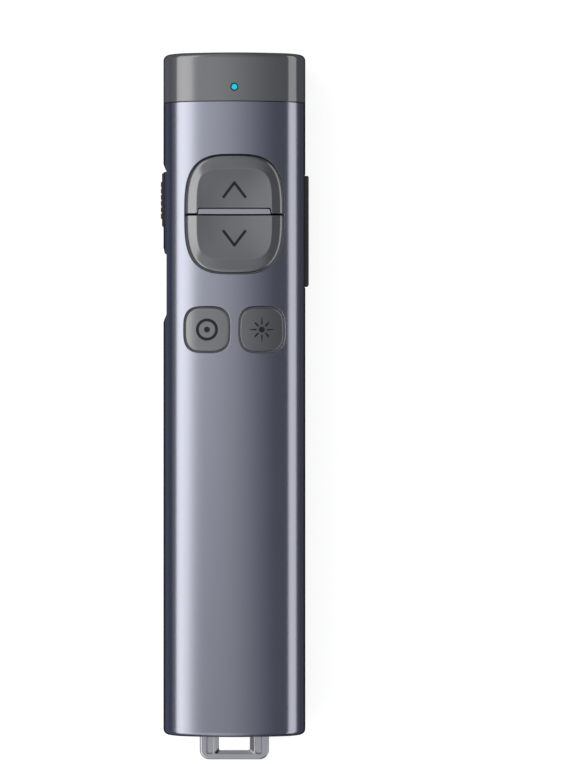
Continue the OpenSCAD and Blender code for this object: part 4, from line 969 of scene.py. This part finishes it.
def rocker():
    """The volume rocker: a bar with rounded edges, a flat face and its pin boss."""
    build = Build()
    rz = board_z + 0.5 - 0.3
    x_in = body_w / 2 - pin_depth + 0.25
    x_out = body_w / 2 + rocker_rise
    y0, y1 = rocker_y - rocker_l / 2, rocker_y + rocker_l / 2
    z0, z1 = rz - rocker_h / 2, rz + rocker_h / 2
    loop = round_rect(y0, y1, z0, z1, 0.45, 0.8, 5)
    m = inward(loop)
    r = 0.4
    rows = []
    for k in range(6):
        a = math.pi / 2 * k / 5
        ring = loop + m * r * (1 - math.sin(a))
        rows.append(([(x_out - r * (1 - math.cos(a)), p[0], p[1]) for p in ring],
                     [math.cos(a) * np.array((1, 0, 0)) + math.sin(a) * np.array((0, *-unit(v))) for v in m]))
    build.strip(rows)
    out = [np.array((0, *-unit(v))) for v in m]
    build.strip([(rows[-1][0], out), ([(x_in, p[0], p[1]) for p in loop], out)])
    build.cap([loop + m * r], lambda u, v: (x_out, u, v), lambda *a: np.array((1.0, 0, 0)),
              [(y, z) for y in np.arange(y0 + 1, y1, 1.2) for z in (z0 + 1.4, rz, z1 - 1.4)])
    build.cap([loop], lambda u, v: (x_in, u, v), lambda *a: np.array((-1.0, 0, 0)))
    pin_x = body_w / 2 - pin_depth
    outer = circle(rocker_pin_d / 2 + 0.5, pin_x, rocker_y, 40)
    inner = circle(rocker_pin_d / 2 + 0.05, pin_x, rocker_y, 40)
    tube(build, outer, inner[::-1], z0 + 0.02, z1 - 0.02)
    return build.object("rocker")


def ring():
    """The lanyard ring: rounded edges, a window with sloping sides, two shallow grooves and its inner shoulders."""
    build = Build()
    z0, z1 = ring_z - ring_t / 2, ring_z + ring_t / 2
    low_y = end_y - ring_out
    cap_in = end_y + 5.0
    shoulder_y = cap_in + 0.08
    in_y = shoulder_y + shoulder_l
    w = ring_w / 2
    pts = []
    for cx, cy, a0 in ((w - ring_corner, low_y + ring_corner, -90),):
        pts += [(cx + ring_corner * math.cos(math.radians(a0 + 90 * k / 8)),
                 cy + ring_corner * math.sin(math.radians(a0 + 90 * k / 8))) for k in range(9)]
    pts += [(w, shoulder_y), (w + shoulder, shoulder_y), (w + shoulder, in_y)]
    loop = pts + [(-x, y) for x, y in pts[::-1]]
    full = []
    for p, q in zip(loop, loop[1:] + loop[:1]):
        n = max(1, int(math.dist(p, q) / 0.8))
        full += [(p[0] + (q[0] - p[0]) * k / n, p[1] + (q[1] - p[1]) * k / n) for k in range(n)]
    loop = np.array(full)
    m = inward(loop)
    r_top, r = 0.45, 0.22
    steps = 5
    rows = []
    for k in range(steps + 1):
        a = math.pi / 2 * k / steps
        pr = loop + m * r_top * (1 - math.sin(a))
        rows.append(([(p[0], p[1], z1 - r_top * (1 - math.cos(a))) for p in pr],
                     [math.cos(a) * np.array((0, 0, 1)) + math.sin(a) * np.array((*-unit(v), 0)) for v in m]))
    for k in range(steps, -1, -1):
        a = math.pi / 2 * k / steps
        pr = loop + m * r * (1 - math.sin(a))
        rows.append(([(p[0], p[1], z0 + r * (1 - math.cos(a))) for p in pr],
                     [-math.cos(a) * np.array((0, 0, 1)) + math.sin(a) * np.array((*-unit(v), 0)) for v in m]))
    build.strip(rows)
    half = ring_hole / 2
    y_low, y_high = low_y + ring_bar, shoulder_y - 1.2
    low_bevel, low_depth = 0.45, 0.16
    # The same number of points on both, by walking each loop in even shares.
    top_loop = even(round_rect(-half - ring_bevel, half + ring_bevel, y_low - low_bevel, y_high, 0.4, 0.3, 6), 120)
    deep_loop = even(round_rect(-half, half, y_low, y_high, 0.2, 0.3, 6), 120)
    # The sides slope steeply and the lower side is nearly level.
    steep = np.clip((deep_loop[:, 1] - y_low) / 0.5, 0, 1)
    fall = low_depth + (ring_bevel - low_depth) * steep
    mt = -inward(top_loop)
    lip = 0.12
    rows = []
    for k in range(4):
        a = math.pi / 2 * k / 3
        pr = top_loop + mt * lip * (1 - math.sin(a))
        rows.append(([(p[0], p[1], z1 - lip * (1 - math.cos(a))) for p in pr],
                     [math.cos(a) * np.array((0, 0, 1)) + math.sin(a) * unit((*-unit(v), 0.6)) for v in mt]))
    build.strip(rows)
    bevel_n = [unit((*(-unit(v) * (0.35 + 0.65 * s)), 1.0)) for v, s in zip(mt, steep)]
    deep_row = [(p[0], p[1], z1 - f) for p, f in zip(deep_loop, fall)]
    build.strip([(rows[-1][0], bevel_n), (deep_row, bevel_n)])
    wall_n = [np.array((*unit(v), 0)) * 1.0 for v in inward(deep_loop)]
    build.strip([(deep_row, wall_n), ([(p[0], p[1], z0) for p in deep_loop], wall_n)])
    groove_x = half + ring_bevel + 0.25
    gy0, gy1 = y_low - low_bevel - 0.05, shoulder_y - 0.8
    tops = [top_loop + mt * lip]
    for side in (-1, 1):
        x = groove_x if side > 0 else -groove_x - groove_w
        base = round_rect(x, x + groove_w, gy0, gy1, 0.45, 0.4, 6)
        mg = -inward(base)
        lip_g = 0.08
        rows = []
        for k in range(4):
            a = math.pi / 2 * k / 3
            pr = base + mg * lip_g * (1 - math.sin(a))
            rows.append(([(p[0], p[1], z1 - lip_g * (1 - math.cos(a))) for p in pr],
                         [math.cos(a) * np.array((0, 0, 1)) + math.sin(a) * np.array((*-unit(v), 0)) for v in mg]))
        build.strip(rows)
        # A narrow trench runs along the groove's outer side and lower end.
        trench = np.maximum(np.clip((np.abs(base[:, 0]) - groove_x - 0.6) / 0.5, 0, 1), np.clip((gy0 + 0.5 - base[:, 1]) / 0.3, 0, 1))
        floor_n = [np.array((0.0, 0, 1))] * len(base)
        wall_g = [np.array((*-unit(v), 0)) for v in mg]
        back_g = [-n for n in wall_g]
        levels = []
        for inset, deep in ((0.02, 0.75), (0.28, 0.75), (0.33, 0.0)):
            ring_g = base - mg * (0.02 + (inset - 0.02) * trench)[:, None]
            levels.append([(p[0], p[1], z1 - groove_d * 0.6 - deep * t) for p, t in zip(ring_g, trench)])
            shrink = ring_g
        build.strip([(rows[-1][0], wall_g), (levels[0], wall_g)])
        build.strip([(levels[0], floor_n), (levels[1], floor_n)])
        build.strip([(levels[1], back_g), (levels[2], back_g)])
        build.cap([shrink], lambda u, v: (u, v, z1 - groove_d * 0.6), lambda *a: np.array((0.0, 0, 1)))
        tops.append(base + mg * lip_g)
    build.cap([loop + m * r_top] + tops, lambda u, v: (u, v, z1), lambda *a: np.array((0.0, 0, 1)))
    build.cap([loop + m * r, deep_loop], lambda u, v: (u, v, z0), lambda *a: np.array((0.0, 0, -1)))
    return build.object("ring")


def even(loop, count):
    """That many points, spaced evenly along a loop, from the same start."""
    ahead = np.vstack([loop, loop[:1]])
    length = np.concatenate([[0], np.cumsum(np.linalg.norm(np.diff(ahead, axis=0), axis=1))])
    at = np.linspace(0, length[-1], count, endpoint=False)
    return np.stack([np.interp(at, length, ahead[:, 0]), np.interp(at, length, ahead[:, 1])], 1)


# ---------------------------------------------------------------- materials
def material(name, color, rough, metal=0.0, grain=9000.0, bump=0.15, vary=0.06, rough_vary=0.08, blotch=60.0,
             coat=0.0, emission=None, transmission=0.0, stretch=None, distance=0.00002, specular=0.5):
    """A procedural finish: fine grain as bump, and slow changes of tone and gloss."""
    mat = bpy.data.materials.new(name)
    mat.use_nodes = True
    tree = mat.node_tree
    shader = tree.nodes["Principled BSDF"]
    shader.inputs["Metallic"].default_value = metal
    shader.inputs["Coat Weight"].default_value = coat
    shader.inputs["Specular IOR Level"].default_value = specular
    shader.inputs["Transmission Weight"].default_value = transmission
    where = tree.nodes.new("ShaderNodeTexCoord")
    source = where.outputs["Object"]
    if stretch:
        mapping = tree.nodes.new("ShaderNodeMapping")
        mapping.inputs["Scale"].default_value = stretch
        tree.links.new(source, mapping.inputs["Vector"])
        source = mapping.outputs["Vector"]
    fine = tree.nodes.new("ShaderNodeTexNoise")
    fine.inputs["Scale"].default_value = grain
    fine.inputs["Detail"].default_value = 3.0
    slow = tree.nodes.new("ShaderNodeTexNoise")
    slow.inputs["Scale"].default_value = blotch
    slow.inputs["Detail"].default_value = 4.0
    for tex in (fine, slow):
        tree.links.new(source, tex.inputs["Vector"])
    tone = tree.nodes.new("ShaderNodeMix")
    tone.data_type = "RGBA"
    low = [c * (1 - vary) for c in color[:3]] + [1]
    high = [min(1, c * (1 + vary)) for c in color[:3]] + [1]
    tone.inputs[6].default_value, tone.inputs[7].default_value = low, high
    both = tree.nodes.new("ShaderNodeMath")
    both.operation = "ADD"
    half = tree.nodes.new("ShaderNodeMath")
    half.operation = "MULTIPLY"
    half.inputs[1].default_value = 0.5
    tree.links.new(fine.outputs[0], both.inputs[0])
    tree.links.new(slow.outputs[0], both.inputs[1])
    tree.links.new(both.outputs[0], half.inputs[0])
    tree.links.new(half.outputs[0], tone.inputs[0])
    tree.links.new(tone.outputs[2], shader.inputs["Base Color"])
    gloss = tree.nodes.new("ShaderNodeMapRange")
    gloss.inputs["To Min"].default_value = max(0.02, rough - rough_vary)
    gloss.inputs["To Max"].default_value = rough + rough_vary
    tree.links.new(slow.outputs[0], gloss.inputs["Value"])
    tree.links.new(gloss.outputs[0], shader.inputs["Roughness"])
    relief = tree.nodes.new("ShaderNodeBump")
    relief.inputs["Strength"].default_value = bump
    relief.inputs["Distance"].default_value = distance
    tree.links.new(fine.outputs[0], relief.inputs["Height"])
    tree.links.new(relief.outputs[0], shader.inputs["Normal"])
    if emission:
        shader.inputs["Emission Color"].default_value = (*emission[:3], 1)
        shader.inputs["Emission Strength"].default_value = emission[3]
    return mat


finishes = {
    "casing": dict(color=(0.30, 0.31, 0.362), rough=0.235, metal=1.0, grain=1600, bump=0.03, vary=0.02, rough_vary=0.01),
    "nose_grey": dict(color=(0.182, 0.184, 0.19), rough=0.15, metal=0.6, grain=1600, bump=0.03, vary=0.02, rough_vary=0.01),
    "inner_black": dict(color=(0.022, 0.022, 0.024), rough=0.55),
    "key_grey": dict(color=(0.187, 0.189, 0.195), rough=0.18, metal=0.72, grain=1600, bump=0.03, vary=0.02, rough_vary=0.01),
    "symbol_dark": dict(color=(0.012, 0.012, 0.013), rough=0.65, specular=0.25),
    "bar_grey": dict(color=(0.40, 0.41, 0.47), rough=0.3, metal=1.0, grain=1600, bump=0.03, vary=0.02, rough_vary=0.01),
    "side_black": dict(color=(0.012, 0.012, 0.013), rough=0.42, grain=3000, bump=0.08),
    "ring_metal": dict(color=(0.5, 0.5, 0.53), rough=0.32, metal=1.0, grain=2500, bump=0.06, vary=0.03, rough_vary=0.02),
    "board_green": dict(color=(0.015, 0.13, 0.06), rough=0.3, coat=0.6, blotch=400, vary=0.25),
    "chip_black": dict(color=(0.018, 0.018, 0.02), rough=0.5),
    "switch_metal": dict(color=(0.5, 0.5, 0.52), rough=0.32, metal=1.0, stretch=(1, 8, 1), grain=3000),
    "plunger_ivory": dict(color=(0.72, 0.69, 0.6), rough=0.4),
    "ceramic_white": dict(color=(0.8, 0.79, 0.75), rough=0.5),
    "steel": dict(color=(0.6, 0.6, 0.62), rough=0.28, metal=1.0, stretch=(1, 8, 1), grain=3000),
    "brass": dict(color=(0.7, 0.5, 0.2), rough=0.3, metal=1.0, stretch=(8, 1, 8), grain=2500),
    "lens_glass": dict(color=(0.85, 0.93, 0.97), rough=0.04, transmission=0.9, bump=0.0, rough_vary=0.02, vary=0.02),
    "window_dark": dict(color=(0.05, 0.008, 0.012), rough=0.06, coat=0.5, bump=0.02, rough_vary=0.02),
    "light_blue": dict(color=(0.005, 0.2, 0.24), rough=0.4, emission=(0.0, 0.75, 0.92, 0.6), bump=0.02, specular=0.2),
    "rim_blue": dict(color=(0.002, 0.008, 0.03), rough=0.5, specular=0.2),
    "led_body": dict(color=(0.8, 0.78, 0.55), rough=0.25, transmission=0.3),
    "pouch": dict(color=(0.62, 0.63, 0.65), rough=0.33, metal=1.0, blotch=250, bump=0.3, grain=1500, distance=0.0001),
    "tape": dict(color=(0.8, 0.8, 0.74), rough=0.8, grain=4000, bump=0.4),
    "wire_pair": dict(color=(0.35, 0.02, 0.02), rough=0.45, stretch=(1, 1, 1)),
}
mats = {name: material(name, **spec) for name, spec in finishes.items()}

name_to_node = {"page_key_up": "page_up_key", "page_key_down": "page_down_key"}
pieces = [
    (casing_front(), "casing", "casing", ["front_shell"]),
    (casing_back(), "casing", "casing", ["back_cover"]),
    (nose(), "casing", "nose_grey", ["nose_cap"]),
    (page_key("page_key_up", 1), "page_up", "key_grey", ["page_up_key"]),
    (page_key("page_key_down", -1), "page_down", "key_grey", ["page_down_key"]),
    (small_key("small_key_left", -1), "spotlight", "key_grey", ["spotlight_key"]),
    (small_key("small_key_right", 1), "laser", "key_grey", ["laser_key"]),
    (divider(), "casing", "bar_grey", ["key_divider"]),
    (slider_plate(), "slider", "casing", ["power_slider"]),
    (slider_grip(), "slider", "side_black", ["slider_grip"]),
    (rocker(), "rocker", "side_black", ["volume_rocker"]),
    (ring(), "ring", "ring_metal", ["lanyard_ring"]),
]
for obj, body, slot, replaced in pieces:
    obj.data.materials.append(mats[slot])
    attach(obj, body)
    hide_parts(*replaced)
for part in frame["record"]["subparts"]:
    obj = nodes[part["node"]]
    obj.data.materials.clear()
    obj.data.materials.append(mats[part["material_slot"]])

# ---------------------------------------------------------------- floor, lights and camera
floor_mesh = bpy.data.meshes.new("floor")
floor_mesh.from_pydata([(-3, -3, -0.0002), (3, -3, -0.0002), (3, 3, -0.0002), (-3, 3, -0.0002)], [], [(0, 1, 2, 3)])
floor = bpy.data.objects.new("floor", floor_mesh)
bpy.context.scene.collection.objects.link(floor)
floor_mat = bpy.data.materials.new("floor")
floor_mat.use_nodes = True
tree = floor_mat.node_tree
diffuse = tree.nodes["Principled BSDF"]
diffuse.inputs["Base Color"].default_value = (0.35, 0.35, 0.35, 1)
diffuse.inputs["Roughness"].default_value = 1.0
diffuse.inputs["Specular IOR Level"].default_value = 0.0
glow = tree.nodes.new("ShaderNodeEmission")
path = tree.nodes.new("ShaderNodeLightPath")
seen = tree.nodes.new("ShaderNodeMath")
seen.operation = "MAXIMUM"
seen2 = tree.nodes.new("ShaderNodeMath")
seen2.operation = "MAXIMUM"
share = tree.nodes.new("ShaderNodeMath")
share.operation = "MULTIPLY"
share.inputs[1].default_value = 0.82
tree.links.new(path.outputs["Is Camera Ray"], seen.inputs[0])
tree.links.new(path.outputs["Is Glossy Ray"], seen.inputs[1])
tree.links.new(seen.outputs[0], seen2.inputs[0])
tree.links.new(path.outputs["Is Transmission Ray"], seen2.inputs[1])
tree.links.new(seen2.outputs[0], share.inputs[0])
tree.links.new(share.outputs[0], glow.inputs["Strength"])
add = tree.nodes.new("ShaderNodeAddShader")
tree.links.new(diffuse.outputs[0], add.inputs[0])
tree.links.new(glow.outputs[0], add.inputs[1])
tree.links.new(add.outputs[0], tree.nodes["Material Output"].inputs["Surface"])
floor.data.materials.append(floor_mat)

world = bpy.data.worlds.new("world")
bpy.context.scene.world = world
world.use_nodes = True
wt = world.node_tree
back = wt.nodes["Background"]
where = wt.nodes.new("ShaderNodeTexCoord")
axes = wt.nodes.new("ShaderNodeSeparateXYZ")
across = wt.nodes.new("ShaderNodeMath")
across.operation = "ARCTAN2"
wt.links.new(where.outputs["Generated"], axes.inputs[0])
wt.links.new(axes.outputs["X"], across.inputs[0])
wt.links.new(axes.outputs["Z"], across.inputs[1])


def ramp(source, low, high, stops):
    """A ramp of colours through stops of (value, red, green, blue)."""
    place = wt.nodes.new("ShaderNodeMapRange")
    place.inputs["From Min"].default_value, place.inputs["From Max"].default_value = low, high
    node = wt.nodes.new("ShaderNodeValToRGB")
    elements = node.color_ramp.elements
    while len(elements) < len(stops):
        elements.new(0.5)
    for element, stop in zip(elements, stops):
        element.position = (stop[0] - low) / (high - low)
    for element, stop in zip(elements, stops):
        element.color = (*stop[1:], 1)
    wt.links.new(source, place.inputs["Value"])
    wt.links.new(place.outputs[0], node.inputs["Fac"])
    return node.outputs[0]


def blend(kind, factor, first, second):
    node = wt.nodes.new("ShaderNodeMix")
    node.data_type, node.blend_type = "RGBA", kind
    for socket, value in ((0, factor), (6, first), (7, second)):
        if isinstance(value, bpy.types.NodeSocket):
            wt.links.new(value, node.inputs[socket])
        else:
            node.inputs[socket].default_value = value
    return node.outputs[2]


# The world is a soft gradient across the object, paler on its left and darker and bluer on its right, flatter and
# darker towards its lower end (lean), and darker where it is seen by faces that look to the laser end (shade).
deg = math.radians
far = [(deg(-90), 0.2, 0.205, 0.23), (deg(-70), 0.3, 0.305, 0.33)]
dark = [(deg(30), 0.14, 0.15, 0.183), (deg(50), 0.08, 0.085, 0.103), (deg(90), 0.06, 0.065, 0.08)]
upper = far + [(deg(-36), 0.9, 0.91, 0.94), (deg(-24), 0.97, 0.98, 1.01), (deg(-17), 1.04, 1.05, 1.09), (deg(-10), 0.95, 0.96, 0.99),
               (deg(0), 0.76, 0.77, 0.79), (deg(11), 0.49, 0.50, 0.54), (deg(19), 0.32, 0.33, 0.38)] + dark
lower = far + [(deg(-36), 0.44, 0.45, 0.47), (deg(-24), 0.41, 0.42, 0.435), (deg(-17), 0.45, 0.46, 0.475), (deg(-10), 0.51, 0.52, 0.535),
               (deg(0), 0.50, 0.51, 0.525), (deg(11), 0.40, 0.41, 0.44), (deg(19), 0.29, 0.30, 0.345)] + dark
angle, along = across.outputs[0], axes.outputs["Y"]
grey = lambda *stops: [(value, level, level, level) for value, level in stops]
lean = ramp(along, -1, 1, grey((-1, 0), (-0.45, 0), (-0.2, 1), (-0.097, 1), (0.002, 0), (1, 0)))
shade = ramp(along, -1, 1, grey((-1, 1), (0.09, 1), (0.24, 0.78), (0.6, 0.66), (1, 0.6)))
sky = blend("MIX", lean, ramp(angle, -math.pi / 2, math.pi / 2, upper), ramp(angle, -math.pi / 2, math.pi / 2, lower))
sky = blend("MULTIPLY", 1.0, sky, shade)
wpath = wt.nodes.new("ShaderNodeLightPath")
wt.links.new(blend("MIX", wpath.outputs["Is Camera Ray"], sky, (1, 1, 1, 1)), back.inputs["Color"])


def lamp(name, across, distance, spread, length, radiance, tint, turn=0.0, target=(0, 0, 0.012)):
    """A long area lamp at an angle to the right of straight up, as wide as the spread that the object sees."""
    a = math.radians(across)
    d = Vector((math.sin(a), 0, math.cos(a)))
    width = 2 * distance * math.tan(math.radians(spread) / 2)
    data = bpy.data.lights.new(name, "AREA")
    data.shape = "RECTANGLE"
    data.size, data.size_y = width, length
    data.energy = radiance * math.pi * width * length
    data.color = tint
    obj = bpy.data.objects.new(name, data)
    bpy.context.scene.collection.objects.link(obj)
    obj.location = Vector(target) + d * distance
    obj.rotation_euler = (Matrix.Rotation(a, 3, "Y") @ Matrix.Rotation(math.radians(turn), 3, "Z")).to_euler()


lamp("left", -49.0, 0.7, 34.4, 1.6, 1.93, (1.0, 0.985, 0.95), turn=-6)
lamp("right", 68.3, 0.7, 36, 1.6, 1.5, (1.0, 0.99, 0.97))

# Dark flags on the floor round the object, which only reflections see, give its sides their dark edge:
# rows of (how far past the casing's outline, height), in metres, from the near-black inner flag to the paler outer one.
def flag(name, rows, left, right):
    half_x, half_y = body_w / 2 * MM, (body_l / 2 + ring_out) * MM
    points, faces = [], []
    for past, height in rows:
        x, y = half_x + past, half_y + past
        points += [(-x, -y, height), (x, -y, height), (x, y, height), (-x, y, height)]
    for row in range(len(rows) - 1):
        for k in range(4):
            a, b = 4 * row + k, 4 * row + (k + 1) % 4
            faces.append((a, b, b + 4, a + 4))
    mesh = bpy.data.meshes.new(name)
    mesh.from_pydata(points, [], faces)
    obj = bpy.data.objects.new(name, mesh)
    for side, color in (("left", left), ("right", right)):
        mat = bpy.data.materials.new(name + "_" + side)
        mat.use_nodes = True
        shader = mat.node_tree.nodes["Principled BSDF"]
        shader.inputs["Base Color"].default_value = (*color, 1)
        shader.inputs["Roughness"].default_value = 1.0
        shader.inputs["Specular IOR Level"].default_value = 0.0
        mesh.materials.append(mat)
    for face in mesh.polygons:
        face.material_index = 0 if face.center.x < -half_x else 1
    bpy.context.scene.collection.objects.link(obj)
    obj.visible_camera = obj.visible_diffuse = obj.visible_shadow = False
    obj.visible_transmission = obj.visible_volume_scatter = False


flag("flag_inner", [(-0.0035, 0.0002), (0.009, 0.0003)], (0.015, 0.016, 0.02), (0.015, 0.016, 0.02))
flag("flag_outer", [(0.009, 0.0003), (0.045, 0.0003), (0.045, 0.015)], (0.18, 0.195, 0.28), (0.13, 0.14, 0.18))

camera = bpy.data.objects.new("camera", bpy.data.cameras.new("camera"))
bpy.context.scene.collection.objects.link(camera)
camera.location = (0, 0, 0.717)
camera.data.sensor_width = 36.0
camera.data.lens = 4.813 * 700 / 764 * 36
camera.data.shift_x = 50.1 / 764
camera.data.shift_y = 12.75 / 764
camera.data.clip_start = 0.01
camera.data.clip_end = 20
bpy.context.scene.camera = camera
bpy.context.scene.view_settings.view_transform = "Standard"
